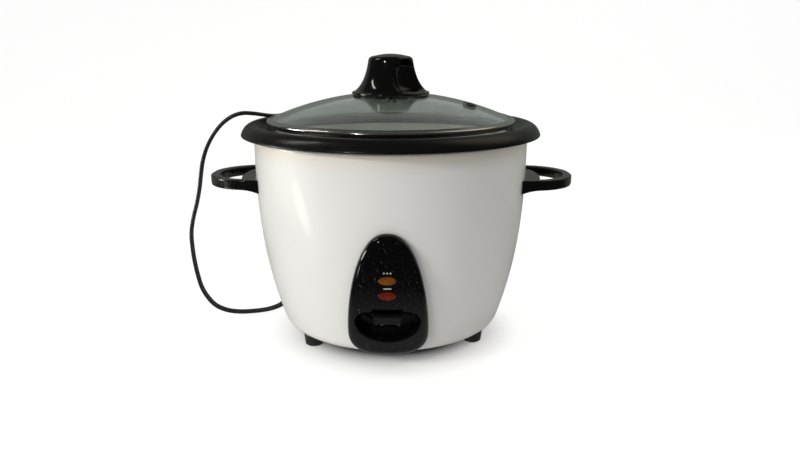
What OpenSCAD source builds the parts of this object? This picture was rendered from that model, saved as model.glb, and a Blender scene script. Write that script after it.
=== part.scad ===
// Pot-style rice cooker. Origin at the centre of the base, on the table.
// The front faces -Y, +X is to the right and +Z is up. All sizes in millimetres.

/* [Body] */
// Radius of the painted shell at its top edge
shell_r_top = 101.6; // [99:0.2:105]
// Height of the shell, from its bottom lip to its top edge
shell_h = 143.2; // [138:0.2:150]
// How far the shell's side draws in between its top edge and its base
shell_draw = 20.8; // [16:0.2:22]
// Power of the curve that the shell's side follows
shell_power = 2.6; // [2.3:0.1:3]
// Radius of the bend round the foot of the shell
shell_bend_r = 11; // [9:0.5:12.5]
// Thickness of the shell's steel
shell_wall = 0.8; // [0.6:0.1:1.1]
// Width of the lip turned in at the shell's top edge
shell_lip = 5; // [4:0.5:6]
// Height of the feet
foot_h = 8.6; // [7:0.2:11]
// Diameter of a foot
foot_d = 15; // [12:0.5:18]
// Distance of the feet's centres inside the edge of the base cover
foot_inset = 4.1; // [3.6:0.1:6]
// How far the ring of feet is turned round the axis, in degrees
foot_turn = 4.2; // [0:0.1:8]
// Thickness of the base cover
base_t = 1.2; // [1:0.1:1.8]

/* [Handles] */
// How far a handle reaches out from the shell's top radius
handle_reach = 35.3; // [30:0.1:44]
// Half the width of a handle, along the shell
handle_half_w = 35; // [31:0.5:38]
// Thickness of the grip bar, top to bottom
handle_t = 7.3; // [6.5:0.1:10]
// Width of the grip bar, seen from above
handle_bar_w = 6.7; // [5:0.1:8]
// How far the handle deepens where it meets the shell
handle_flare = 3.1; // [2.5:0.1:6]
// Distance from the shell's top edge down to the handles' top face
handle_drop = 29; // [24:0.5:40]
// How far the web under the palm reaches out from the shell's top radius
web_reach = 11; // [8:0.5:14]
// Thickness of the web
web_t = 4; // [3:0.2:5]

/* [Control panel] */
// Height of the panel
panel_h = 89.3; // [84:0.1:96]
// Width of the panel
panel_w = 55.2; // [52:0.2:58]
// Gap between the shell's base and the panel's lower edge
panel_low = 2.9; // [2:0.1:4]
// How far the panel stands out from the shell at its upper edge
panel_proud_top = 6.5; // [6:0.1:8]
// How far the panel stands out from the shell at its lower edge
panel_proud_low = 9; // [8:0.1:10.5]
// Radius of the panel's rounded edge
panel_edge_r = 5; // [3:0.5:5.5]
// Wall thickness of the panel
panel_wall = 2.2; // [1.8:0.1:2.6]
// Width of the oval recess round the lever
recess_w = 44.4; // [42:0.2:47]
// Height of the recess above its tips
recess_rise = 9.8; // [9:0.1:10.5]
// Depth of the recess below its tips
recess_fall = 15.2; // [13:0.1:15.6]
// Height of the recess's tips above the panel's lower edge
recess_up = 27.7; // [27:0.1:28.4]
// Depth of the recess
recess_deep = 11; // [9.5:0.5:11.5]
// Width of a lamp lens
lens_w = 12; // [10:0.2:13]
// Height of a lamp lens
lens_h = 6.2; // [5:0.2:7]
// Height of the lower lens above the panel's lower edge
lens_up = 47.5; // [46:0.1:50]
// Distance between the two lenses
lens_pitch = 10.8; // [10:0.1:13]

/* [Heater and pot] */
// Height of the heating plate's top face above the base cover
plate_up = 52.2; // [51:0.2:56]
// How far the heating plate's edge lies inside the pot's side
plate_in = 17.5; // [17:0.5:21]
// Thickness of the heating plate
plate_t = 12; // [11:0.5:13]
// Room between the liner's upper wall and the shell's top edge
liner_air = 9.6; // [8:0.1:10]
// Thickness of the liner's sheet
liner_wall = 0.8; // [0.6:0.1:1]
// Room between the pot's side and the liner
pot_gap = 2.5; // [2:0.1:4]
// Thickness of the pot's metal
pot_wall = 1.5; // [1.2:0.1:1.8]
// Radius of the bend round the pot's bottom
pot_bend_r = 16; // [14:0.5:20]
// How far the pot's turned-down rim reaches out past the shell
rim_out = 9.4; // [8:0.1:13]
// Height of the rim's crest above the shell's top edge
rim_up = 10; // [9:0.2:14]
// Height of the turned-down edge, crest to hem
rim_fall = 7.7; // [7:0.1:8.8]
// Depth of the lid's ledge below the rim's crest
ledge_drop = 3.1; // [2.5:0.1:4]

/* [Lid] */
// How far the lid's steel rim reaches out past the pot's side
lid_over = 3; // [2:0.1:3.6]
// Radius of the glass dome's sphere
dome_r = 222; // [190:1:260]
// Thickness of the glass
glass_t = 3.5; // [3:0.1:4]
// Thickness of the steel rim's sheet
lid_sheet = 0.6; // [0.5:0.1:0.8]
// Radius of the knob's foot
knob_r = 28.8; // [26:0.2:31]
// Height of the knob
knob_h = 29.5; // [26:0.5:34]
// Radius of the knob near its top
knob_top_r = 16.6; // [14.6:0.2:18]
// Distance of the steam vent from the lid's axis
vent_at = 60; // [50:1:72]
// Radius of the steam vent's hole
vent_hole_r = 2.2; // [1.5:0.1:2.6]

/* [Switch] */
// Width of the lever's paddle
paddle_w = 18; // [15:0.5:19]
// Height of the paddle's front lip
paddle_h = 5; // [4:0.5:6]
// Radius of the lever's pivot pin
pin_r = 2; // [1.6:0.1:2.4]
// Radius of the lift rod
rod_r = 2; // [1.6:0.1:2.4]
// Radius of the thermostat's sensor cup
cup_r = 16.5; // [15.5:0.1:18]
// Radius of the latch magnet
magnet_r = 8; // [7:0.1:9]

/* [Cord] */
// Thickness of the cord as a plain round tube
cord_d = 4.6; // [4:0.1:5.2]

/* [Hidden] */

$fn = 72;
eps = 0.01;
seat_gap = 0.3;    // between curved or moving faces at rest
fit_gap = 0.05;    // radial clearance of a pin or rod in its bore
hole_gap = 0.2;    // radial clearance of a screw in its hole
ear_gap = 7.6;     // half the room between the ears that hold the lever

// ---- radii of what nests in the shell
liner_r = shell_r_top - liner_air;
pot_r = liner_r - pot_gap;
lid_r = pot_r + lid_over;
rim_r = shell_r_top + rim_out;
plate_r = pot_r - plate_in;

// ---- heights
base_top = foot_h + base_t;
shell_top = base_top + shell_h;
plate_top = base_top + plate_up;
plate_low = plate_top - plate_t;
crest_z = shell_top + rim_up;
ledge_z = crest_z - ledge_drop;

// ---- shell: radius and slope of its side at height z
function shell_r(z) = shell_r_top - shell_draw * pow(max(0, shell_top - z) / shell_h, shell_power);
function shell_tilt(z) =
    atan(shell_draw * shell_power / shell_h * pow((shell_top - z) / shell_h, shell_power - 1));
bend_tilt = shell_tilt(base_top + 0.7 * shell_bend_r);
bend_z = base_top + shell_bend_r * (1 - sin(bend_tilt));
bend_c = [shell_r(bend_z) - shell_bend_r * cos(bend_tilt), base_top + shell_bend_r];
foot_ring_r = bend_c[0] - foot_inset;
lip_in_r = foot_ring_r - 8;

// Outer side of the shell from its top edge down to its flat base, moved out by off
function shell_side(off, steps = 14) = concat(
    [for (i = [0:steps]) let (z = shell_top - (shell_top - bend_z) * i / steps)
        [shell_r(z) + off, z]],
    [for (i = [1:6]) let (a = bend_tilt + (90 - bend_tilt) * i / 6, r = shell_bend_r + off)
        [bend_c[0] + r * cos(a), bend_c[1] - r * sin(a)]]);

// Solid filled body of the shell, moved out by off, for parts that lie against it
module shell_core(off) {
    rotate_extrude(convexity = 4)
        polygon(concat([[0, shell_top]], shell_side(off), [[0, base_top - off]]));
}

// ---- shared helpers
function flip(list) = [for (i = [len(list) - 1:-1:0]) list[i]];
function unit(v) = v / norm(v);
function bez(p, t) = pow(1 - t, 3) * p[0] + 3 * t * pow(1 - t, 2) * p[1]
    + 3 * t * t * (1 - t) * p[2] + pow(t, 3) * p[3];

// Closed skin over rings of equal count; tips are the centre points of its two ends
module skin(rings, tip_a, tip_b) {
    n = len(rings[0]);
    last = len(rings) - 1;
    points = concat([for (ring = rings) each ring], [tip_a, tip_b]);
    side = [for (j = [0:last - 1]) for (i = [0:n - 1]) let (k = (i + 1) % n)
        each [[j * n + k, j * n + i, (j + 1) * n + k], [(j + 1) * n + k, j * n + i, (j + 1) * n + i]]];
    ends = [for (i = [0:n - 1]) let (k = (i + 1) % n)
        each [[len(points) - 2, i, k], [len(points) - 1, last * n + k, last * n + i]]];
    polyhedron(points, concat(side, ends), convexity = 6);
}

// Round tube swept through its points, with a frame that does not twist
module tube(path, r, sides = 8) {
    n = len(path);
    dirs = [for (i = [0:n - 1]) unit(path[min(i + 1, n - 1)] - path[max(i - 1, 0)])];
    first = unit(cross(dirs[0], abs(dirs[0][2]) > 0.8 ? [1, 0, 0] : [0, 0, 1]));
    ups = [for (i = 0, u = first; i < n;
            i = i + 1, u = i < n ? unit(u - (u * dirs[i]) * dirs[i]) : u) u];
    rings = [for (i = [0:n - 1]) let (v = cross(dirs[i], ups[i]))
        [for (s = [0:sides - 1]) let (a = 360 * s / sides)
            path[i] + r * (cos(a) * ups[i] + sin(a) * v)]];
    skin(rings, path[0], path[n - 1]);
}

// Helical spring along Z between two heights, with its end turns closed
module coil_spring(mean_r, wire_r, z_low, z_high, turns, per_turn, sides) {
    last = turns * per_turn;
    low = z_low + wire_r;
    high = z_high - wire_r;
    tube([for (i = [0:last]) let (a = 360 * i / per_turn)
        [mean_r * cos(a), mean_r * sin(a), low + (high - low) * i / last]], wire_r, sides);
}

// Pan-head screw along +Z with its head's underside at z = 0
module pan_screw(r, length, head_r, head_h) {
    translate([0, 0, -head_h / 2]) cylinder(r = r, h = length + head_h / 2);
    translate([0, 0, -head_h]) cylinder(r1 = head_r * 0.8, r2 = head_r, h = head_h);
}

// ---- shell, liner and base
module front_windows() {
    translate([-window_half, -shell_r_top, window_low])
        cube([2 * window_half, shell_r_top / 2, window_high - window_low]);
    translate([-lamp_half, -shell_r_top, window_high - eps])
        cube([2 * lamp_half, shell_r_top / 2, lamp_high - window_high]);
}

module outer_shell() color("white") difference() {
    inner = [for (p = shell_side(-shell_wall)) if (p[1] < shell_top - shell_wall) p];
    rotate_extrude($fn = 120) polygon(concat(
        [[shell_r_top - shell_lip, shell_top]], shell_side(0),
        [[lip_in_r, base_top], [lip_in_r, base_top + shell_wall]], flip(inner),
        [[shell_r(shell_top - shell_wall) - shell_wall, shell_top - shell_wall],
         [shell_r_top - shell_lip, shell_top - shell_wall]]));
    front_windows();
    for (at = panel_screw_at) translate([at[0], 0, at[1]]) rotate([90, 0, 0])
        cylinder(r = panel_screw_r + hole_gap, h = shell_r_top + 5);
    for (side = [-1, 1], y = [-1, 1]) translate([0, y * handle_screw_y, handle_screw_z])
        rotate([0, side * 90, 0]) cylinder(r = handle_screw_r + hole_gap, h = shell_r_top + 5);
    for (a = base_screw_at) rotate(a) translate([foot_ring_r, 0, base_top - 1])
        cylinder(r = base_screw_r + hole_gap, h = shell_wall + 2);
    for (a = foot_at) rotate(a) translate([foot_ring_r, 0, base_top - 1])
        cylinder(r = foot_stud_r + hole_gap, h = shell_wall + 2);
    gland_axis() translate([0, 0, -12]) cylinder(r = gland_r + hole_gap, h = 24);
}

liner_floor = plate_low - 4.8;
liner_flange_r = shell_r_top - 0.2;
liner_cone_top = plate_top + 18;
liner_low_r = plate_r + 10;
module inner_liner() color("silver") difference() {
    w = liner_wall;
    rotate_extrude($fn = 120) polygon([[liner_flange_r, shell_top], [liner_flange_r, shell_top + w],
        [liner_r + 1.2, shell_top + w], [liner_r, shell_top + w - 1.2], [liner_r, liner_cone_top],
        [liner_r - 6, plate_top], [liner_low_r, liner_floor + 6], [liner_low_r - 4, liner_floor + w],
        [liner_hole_r, liner_floor + w], [liner_hole_r, liner_floor],
        [liner_low_r - 4 + w / 2, liner_floor], [liner_low_r + w, liner_floor + 6 - w / 2],
        [liner_r - 6 + w, plate_top - w / 2], [liner_r + w, liner_cone_top],
        [liner_r + w, shell_top]]);
    for (a = post_at) rotate(a) translate([post_ring_r, 0, liner_floor - 1])
        cylinder(r = post_screw_r + hole_gap, h = w + 2);
    for (x = [-1, 1]) rotate(90 + x * element_gap) translate([element_r, 0, liner_floor - 1])
        cylinder(r = element_wire_r + 1.2, h = w + 2);
    for (y = bracket_screw_y) translate([0, y, liner_floor - 1])
        cylinder(r = bracket_screw_r + hole_gap, h = w + 2);
}

foot_at = [for (a = [210, 330, 90]) a + foot_turn];
base_screw_at = [for (a = foot_at) a + 180];
foot_stud_r = 2.6;
base_screw_r = 1.7;
cover_r = bend_c[0];
module base_cover() color("dimgray") difference() {
    union() {
        translate([0, 0, foot_h]) cylinder(r = cover_r, h = base_t, $fn = 96);
        translate([0, 0, base_top]) rotate_extrude()
            polygon([[0, 0], [lip_in_r - 3, 0], [lip_in_r - 5, 2.4], [0, 2.4]]);
    }
    translate([0, 0, foot_h - eps]) rotate_extrude()
        polygon([[0, 0], [lip_in_r - 4.4, 0], [lip_in_r - 6.4, 2.4], [0, 2.4]]);
    for (a = [0:20:340]) rotate(a) translate([vent_slot_r, 0, foot_h - 1]) {
        translate([0, -1.2, 0]) cube([14, 2.4, 8]);
        translate([14, 0, 0]) cylinder(r = 1.2, h = 8, $fn = 24);
        cylinder(r = 1.2, h = 8, $fn = 24);
    }
    for (a = base_screw_at) rotate(a) translate([foot_ring_r, 0, foot_h - 1])
        cylinder(r = base_screw_r + hole_gap, h = base_t + 2);
    for (a = foot_at) rotate(a) translate([foot_ring_r, 0, foot_h - 1])
        cylinder(r = foot_stud_r + hole_gap, h = base_t + 2);
}
vent_slot_r = lip_in_r * 0.5;

module foot(angle) color("#181818") rotate(angle) translate([foot_ring_r, 0, 0]) difference() {
    r = foot_d / 2;
    union() {
        rotate_extrude() polygon([[0, 0], [r - 1.6, 0], [r - 0.8, 0.8], [r, foot_h - 1],
            [r - 0.4, foot_h], [0, foot_h]]);
        cylinder(r = foot_stud_r, h = base_top + shell_wall + 1.5);
        translate([0, 0, base_top + shell_wall + seat_gap])
            cylinder(r1 = foot_stud_r + 0.7, r2 = foot_stud_r - 0.6, h = 2.4);
    }
    translate([0, 0, -eps]) cylinder(r = 2, h = foot_h - 2.5);
}

module base_screws() color("silver") for (a = base_screw_at) rotate(a)
    translate([foot_ring_r, 0, foot_h]) pan_screw(base_screw_r, base_t + 6, 3.4, 2);

// ---- handles
handle_top = shell_top - handle_drop;
handle_low = handle_top - handle_t;
handle_root_low = handle_low - handle_flare;
handle_tip_x = shell_r_top + handle_reach;
grip_c = shell_r_top + 3.4;
web_c = shell_r_top - 6;
web_top = handle_top - 1.2;
handle_screw_r = 1.9;
handle_screw_y = handle_half_w * 0.5;
handle_screw_z = web_top - web_t - 1.4;
boss_out = shell_r_top + 8;
handle_inner = shell_r_top - 42;

// Outline of half an oval in plan, from x = from out to its tip
function half_oval(c, tip, half, from) = concat([[from, -half]],
    [for (a = [-90:6:90]) [c + (tip - c) * cos(a), half * sin(a)]], [[from, half]]);

module handle_side() {
    low = handle_low;
    rotate([90, 0, 0]) translate([0, 0, -handle_half_w - 1])
        linear_extrude(2 * handle_half_w + 2) polygon(concat(
            [for (a = [0:15:90]) [handle_tip_x - 1.5 + 1.5 * sin(a), handle_top - 1.5 + 1.5 * cos(a)]],
            [for (a = [0:15:90]) [handle_tip_x - 5 + 5 * cos(a), low + 3.5 - 3.5 * sin(a)]],
            [for (i = [0:8]) bez([[grip_c + 5, low], [grip_c, low],
                [grip_c - 4, low - 0.6], [shell_r_top - 7, handle_root_low]], i / 8)],
            [[shell_r_top - 30, handle_root_low], [shell_r_top - 30, handle_top]]));
}

// Everything inside the grip bar, seen from above
module inside_bar() {
    polygon(half_oval(grip_c, handle_tip_x - handle_bar_w, handle_half_w - handle_bar_w,
        handle_inner));
}

module handle() {
    difference() {
        intersection() {
            translate([0, 0, handle_root_low]) linear_extrude(handle_top - handle_root_low)
                polygon(half_oval(grip_c, handle_tip_x, handle_half_w, handle_inner));
            handle_side();
        }
        shell_core(seat_gap);
        translate([0, 0, handle_root_low - 1]) linear_extrude(handle_top + 2 - handle_root_low)
            difference() {
                inside_bar();
                polygon(half_oval(web_c, shell_r_top + web_reach, handle_half_w + 4,
                    handle_inner - 10));
            }
        difference() {
            translate([0, 0, handle_root_low - 1])
                linear_extrude(web_top - web_t - handle_root_low + 1) inside_bar();
            shell_core(3.5);
            for (y = [-1, 1]) translate([handle_inner, y * handle_screw_y, handle_screw_z])
                rotate([0, 90, 0]) cylinder(r = 4, h = boss_out - handle_inner);
        }
        translate([0, 0, web_top]) linear_extrude(handle_top) inside_bar();
        for (y = [-1, 1]) translate([handle_inner, y * handle_screw_y, handle_screw_z])
            rotate([0, 90, 0]) cylinder(r = handle_screw_r + 0.02, h = boss_out - handle_inner - 2);
    }
}

module handle_right() color("#161616") handle();
module handle_left() color("#161616") mirror([1, 0, 0]) handle();

module handle_screws() color("silver") for (side = [0, 1], y = [-1, 1]) mirror([side, 0, 0]) {
    seat = sqrt(pow(shell_r(handle_screw_z) - shell_wall, 2)
        - pow(handle_screw_y + 3.6, 2)) - seat_gap;
    translate([seat, y * handle_screw_y, handle_screw_z]) rotate([0, 90, 0])
        pan_screw(handle_screw_r, boss_out - 4 - seat, 3.6, 2.2);
}

// ---- control panel
panel_z0 = base_top + panel_low;
panel_z1 = panel_z0 + panel_h;
panel_mid = panel_z0 + panel_h * 0.22;
cook_z = panel_z0 + lens_up;
warm_z = cook_z + lens_pitch;
recess_z = panel_z0 + recess_up;
window_half = recess_w / 2 + 2.1;
window_low = recess_z - recess_fall - 1.2;
window_high = recess_z + recess_rise + 2.2;
lamp_half = lens_w / 2 + 4;
lamp_high = warm_z + lens_h / 2 + 4;
panel_screw_r = 1.5;
panel_screw_at = [[0, panel_z1 - 13], [-15, panel_z0 + 8.5], [15, panel_z0 + 8.5]];

function proud(z) = panel_proud_low
    + (panel_proud_top - panel_proud_low) * (z - panel_z0) / panel_h;
function sgn_pow(v, e) = sign(v) * pow(abs(v), e);
// Egg-shaped outline of the panel: [x, z], pulled in by inset
function egg(a, inset) = a < 180
    ? [(panel_w / 2 - inset) * sgn_pow(cos(a), 0.85),
       panel_mid + (panel_z1 - panel_mid - inset) * pow(sin(a), 1.15)]
    : [(panel_w / 2 - inset) * sgn_pow(cos(a), 0.6),
       panel_mid - (panel_mid - panel_z0 - inset) * pow(-sin(a), 0.72)];
// Point on the surface that stands out from the shell by out
function on_shell(x, z, out) = [x, -sqrt(pow(shell_r(z) + out, 2) - x * x), z];
function egg_edge(inset, back, less) = [for (a = [0:18:90]) let (r = panel_edge_r)
    [for (b = [0:6:354]) let (p = egg(b, inset + r * (1 - cos(a))))
        on_shell(p[0], p[1], max(back + 0.1, proud(p[1]) - less - r * (1 - sin(a))))]];

module panel_body(inset, back, less) {
    rings = concat([[for (a = [0:6:354]) let (p = egg(a, inset)) on_shell(p[0], p[1], back)]],
        egg_edge(inset, back, less),
        [for (s = [0.75, 0.5, 0.25]) [for (a = [0:6:354])
            let (p = egg(a, inset + panel_edge_r), x = p[0] * s,
                z = panel_mid + 10 + (p[1] - panel_mid - 10) * s)
            on_shell(x, z, proud(z) - less)]]);
    skin(rings, on_shell(0, panel_mid + 10, back),
        on_shell(0, panel_mid + 10, proud(panel_mid + 10) - less));
}

// Rings of the recess: [depth, half width, top, bottom, bow of its top], grown by wall
recess_steps = [[0, 1, 1, 1, 1], [0.15, 0.985, 0.8, 0.99, 0.78], [0.3, 0.965, 0.62, 0.965, 0.56],
    [0.45, 0.94, 0.46, 0.92, 0.4], [0.75, 0.9, 0.42, 0.8, 0.4], [0.93, 0.82, 0.36, 0.62, 0.45],
    [1, 0.7, 0.28, 0.45, 0.5]];
function recess_ring(step, wall, depth) = [for (a = [0:10:350])
    let (x = (recess_w / 2 * step[1] + wall) * cos(a),
        z = recess_z + (sin(a) > 0 ? (recess_rise * step[2] + wall) * pow(sin(a), step[4])
            : (recess_fall * step[3] + wall) * sin(a)))
    on_shell(x, z, proud(recess_z) - depth)];
module recess(wall, start) {
    rings = concat([recess_ring(recess_steps[0], wall, start)],
        [for (s = recess_steps) if (s[0] * recess_deep > start)
            recess_ring(s, wall, s[0] * (recess_deep + wall))]);
    skin(flip(rings), on_shell(0, recess_z, proud(recess_z) - recess_deep - wall),
        on_shell(0, recess_z, proud(recess_z) - start));
}

// Oval rod along Y between two distances from the axis
module oval(w, h, near, far) {
    rotate([90, 0, 0]) translate([0, 0, near]) linear_extrude(far - near)
        polygon([for (a = [0:10:350]) [w / 2 * cos(a), h / 2 * sin(a)]]);
}

recess_front = shell_r(recess_z) + proud(recess_z);
notch_half = paddle_w / 2 + 1.4;
notch_low = recess_z + 2;
slot_half = ear_gap + 0.4;
slot_low = recess_z - 8.4;
function boss_back(at) = shell_r(at[1] + 3.2) + seat_gap;
function boss_seat(at) = sqrt(pow(boss_back(at), 2) - pow(at[0], 2));
module control_panel() color("#101214") difference() {
    union() {
        difference() {
            panel_body(0, seat_gap, 0);
            panel_body(panel_wall, -4, panel_wall);
        }
        recess(1.6, 0.8);
        for (at = panel_screw_at) translate([at[0], 0, at[1]]) rotate([90, 0, 0])
            translate([0, 0, sqrt(pow(boss_back(at), 2) - pow(max(0, abs(at[0]) - 3.2), 2))])
                cylinder(r = 3.2, h = proud(at[1]) - 1.4);
    }
    recess(0, -3);
    translate([-notch_half, -recess_front - 4, notch_low])
        cube([2 * notch_half, recess_deep + 8, recess_z + recess_rise - notch_low]);
    translate([-slot_half, -recess_front + 2.5, slot_low])
        cube([2 * slot_half, recess_deep + 4, notch_low + eps - slot_low]);
    for (z = [warm_z, cook_z]) translate([0, 0, z])
        oval(lens_w + 0.3, lens_h + 0.3, shell_r(z), shell_r_top + 20);
    for (at = panel_screw_at) translate([at[0], 0, at[1]]) rotate([90, 0, 0])
        cylinder(r = panel_screw_r + 0.02, h = boss_seat(at) + 4);
}

module panel_screws() color("silver") for (at = panel_screw_at) {
    seat = sqrt(pow(shell_r(at[1] - 3) - shell_wall, 2) - pow(abs(at[0]) + 3, 2)) - seat_gap;
    translate([at[0], -seat, at[1]]) rotate([90, 0, 0])
        pan_screw(panel_screw_r, boss_seat(at) - seat + 3, 3, 1.8);
}

// Inner face of a lens, which is domed in front and has a flange behind the panel's wall
function lens_back(z) = shell_r(z) + proud(z) - panel_wall - 1.8;
module lens(z) {
    front = shell_r(z) + proud(z);
    back = lens_back(z) + 0.8;
    translate([0, 0, z]) {
        skin([for (s = [[back, 1], [front - 0.1, 1], [front + 0.3, 0.93], [front + 0.6, 0.75],
                [front + 0.8, 0.4]])
            [for (a = [0:15:345]) [lens_w / 2 * s[1] * cos(a), -s[0], lens_h / 2 * s[1] * sin(a)]]],
            [0, -back, 0], [0, -front - 0.85, 0]);
        oval(lens_w + 1.2, lens_h + 0.8, lens_back(z), back + eps);
    }
}
module warm_lens() color("orange") lens(warm_z);
module cook_lens() color("firebrick") lens(cook_z);

lamp_r = 1.7;
holder_back = lens_back(cook_z) - 0.15 - 2 * lamp_r - seat_gap - 1.4;
module lamp_holder() color("ivory") {
    half = lens_w / 2 + 1.6;
    shelves = [cook_z - lens_pitch / 2, cook_z + lens_pitch / 2, warm_z + lens_pitch / 2];
    difference() {
        union() {
            translate([-half, -holder_back - 1.4, shelves[0] - 0.6])
                cube([2 * half, 1.4, shelves[2] - shelves[0] + 1.2]);
            for (z = shelves) translate([-half, -lens_back(z) + 0.2, z - 0.6])
                cube([2 * half, lens_back(z) - 0.2 - holder_back, 1.2]);
        }
        for (z = [warm_z, cook_z]) translate([0, -holder_back + 1, z])
            rotate([90, 0, 0]) cylinder(r = 1, h = 4, $fn = 24);
    }
}
module neon_lamps() color("#e8b48a") for (z = [warm_z, cook_z])
    translate([0, -holder_back - 1.4 - seat_gap - lamp_r, z]) rotate([0, 90, 0]) union() {
        translate([0, 0, -4.5]) cylinder(r = lamp_r, h = 9, $fn = 32);
        translate([0, 0, -5.2]) cylinder(r = 1.2, h = 10.4, $fn = 24);
    }

// ---- heating plate and thermostat
liner_hole_r = cup_r + 3.5;
element_r = plate_r - 24;
element_wire_r = 3.4;
element_gap = 14;
element_z = plate_low - 0.2;
leg_out = 9;       // how far the element's legs reach down through the liner
post_at = [30, 150, 270];
post_ring_r = plate_r - 11;
post_r = 5;
post_screw_r = 1.7;
cup_hole_r = cup_r + 0.4;

module heating_plate() color("lightgray") difference() {
    rotate_extrude($fn = 96) polygon([[cup_hole_r, plate_low + 2], [cup_hole_r, plate_top - 0.6],
        [cup_hole_r + 0.6, plate_top], [plate_r - 2, plate_top], [plate_r, plate_top - 2],
        [plate_r, plate_low + 5], [plate_r - 5, plate_low], [cup_hole_r + 4, plate_low],
        [cup_hole_r + 2, plate_low + 2]]);
    translate([0, 0, element_z]) rotate_extrude($fn = 96) translate([element_r, 0])
        circle(r = element_wire_r + 0.15, $fn = 32);
    for (a = post_at) rotate(a) translate([post_ring_r, 0, plate_low - 1])
        cylinder(r = post_screw_r + 0.02, h = 8);
}

module heating_element() color("dimgray") {
    translate([0, 0, element_z]) rotate(90 + element_gap)
        rotate_extrude(angle = 360 - 2 * element_gap, $fn = 96) translate([element_r, 0])
            circle(r = element_wire_r, $fn = 32);
    for (x = [-1, 1]) rotate(90 + x * element_gap) translate([element_r, 0, liner_floor - leg_out]) {
        cylinder(r = element_wire_r, h = element_z - liner_floor + leg_out);
        translate([0, 0, -7]) cylinder(r = 1.4, h = 7 + eps, $fn = 24);
        translate([-0.4, -3.1, -15]) cube([0.8, 6.2, 8 + eps]);
    }
}
blade_low = liner_floor - leg_out - 15;

module plate_posts() color("silver") for (a = post_at) rotate(a)
    translate([post_ring_r, 0, liner_floor + liner_wall]) difference() {
        cylinder(r = post_r, h = plate_low - liner_floor - liner_wall);
        translate([0, 0, -1]) cylinder(r = post_screw_r + hole_gap, h = 8);
    }
module plate_screws() color("silver") for (a = post_at) rotate(a)
    translate([post_ring_r, 0, liner_floor]) pan_screw(post_screw_r, plate_low - liner_floor + 5, 3.2, 2);

band_up = 34;      // keep-warm band: its lower edge above the plate, and its height
band_h = 22;
module keep_warm_heater() color("tan") rotate(50) rotate_extrude(angle = 250, $fn = 120)
    translate([liner_r + liner_wall + 0.1, plate_top + band_up]) square([1.2, band_h]);

fuse_at = [0.75 * element_r, 14];
module thermal_fuse() color("beige") translate([fuse_at[0], fuse_at[1], liner_floor - 2.2]) {
    rotate([0, 90, 60]) translate([0, 0, -14]) cylinder(r = 2.2, h = 28, $fn = 32);
    rotate([0, 90, 60]) translate([0, 0, -20]) cylinder(r = 0.8, h = 40, $fn = 24);
}

// Bracket under the liner's floor that carries the lever's pin and the rod's guide
bracket_lip = 8;   // from the lever's pin to the bracket's near end
bracket_gap = 7;   // from that end to the middle of the nearest post
pivot_y = bracket_lip + bracket_gap - post_ring_r;
pivot_z = base_top + 18.2;
bracket_t = 2;
bracket_half = 16;
bracket_far = element_r - 14;
bracket_top = liner_floor;
guide_r = rod_r + 3;
guide_low = bracket_top - bracket_t - 2.2;
bracket_screw_y = [pivot_y + 12, bracket_far - 7];
bracket_screw_r = 1.7;
module switch_bracket() color("silver") difference() {
    union() {
        translate([-bracket_half, pivot_y - bracket_lip, bracket_top - bracket_t])
            cube([2 * bracket_half, bracket_far + bracket_lip - pivot_y, bracket_t]);
        for (s = [-1, 1]) translate([s * (ear_gap + 0.75) - 0.75, pivot_y - 6, pivot_z - 6])
            cube([1.5, 12, bracket_top - bracket_t - pivot_z + 6 + eps]);
        translate([0, 0, guide_low])
            cylinder(r = guide_r, h = bracket_top - bracket_t - guide_low + eps);
    }
    translate([0, 0, guide_low - 1]) cylinder(r = rod_r + fit_gap, h = 20);
    translate([-20, pivot_y, pivot_z]) rotate([0, 90, 0]) cylinder(r = pin_r + 0.02, h = 40);
    for (y = bracket_screw_y) translate([0, y, bracket_top - bracket_t - 1])
        cylinder(r = bracket_screw_r + hole_gap, h = bracket_t + 2);
}
module bracket_screws() color("silver") for (y = bracket_screw_y)
    translate([0, y, bracket_top - bracket_t]) pan_screw(bracket_screw_r, bracket_t + 2.4, 3, 1.8);

contact_low = bracket_top - bracket_t - 10;
module contact_block() color("saddlebrown")
    translate([10, pivot_y + 8, contact_low]) difference() {
        cube([6, 14, 10]);
        for (z = [2.4, 6.4]) translate([-1, 2, z]) cube([8, 10, 0.6]);
    }
module contact_blades() color("goldenrod")
    translate([10, pivot_y + 8, contact_low]) for (z = [2.4, 6.4])
        translate([-1, 2.2, z + 0.05]) difference() {
            cube([22, 9.6, 0.5]);
            translate([12, 4.8, -1]) cylinder(r = 1.4, h = 3, $fn = 24);
        }

module lever_pin() color("silver") translate([-ear_gap - 2.6, pivot_y, pivot_z])
    rotate([0, 90, 0]) cylinder(r = pin_r, h = 2 * ear_gap + 5.2);

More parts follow.
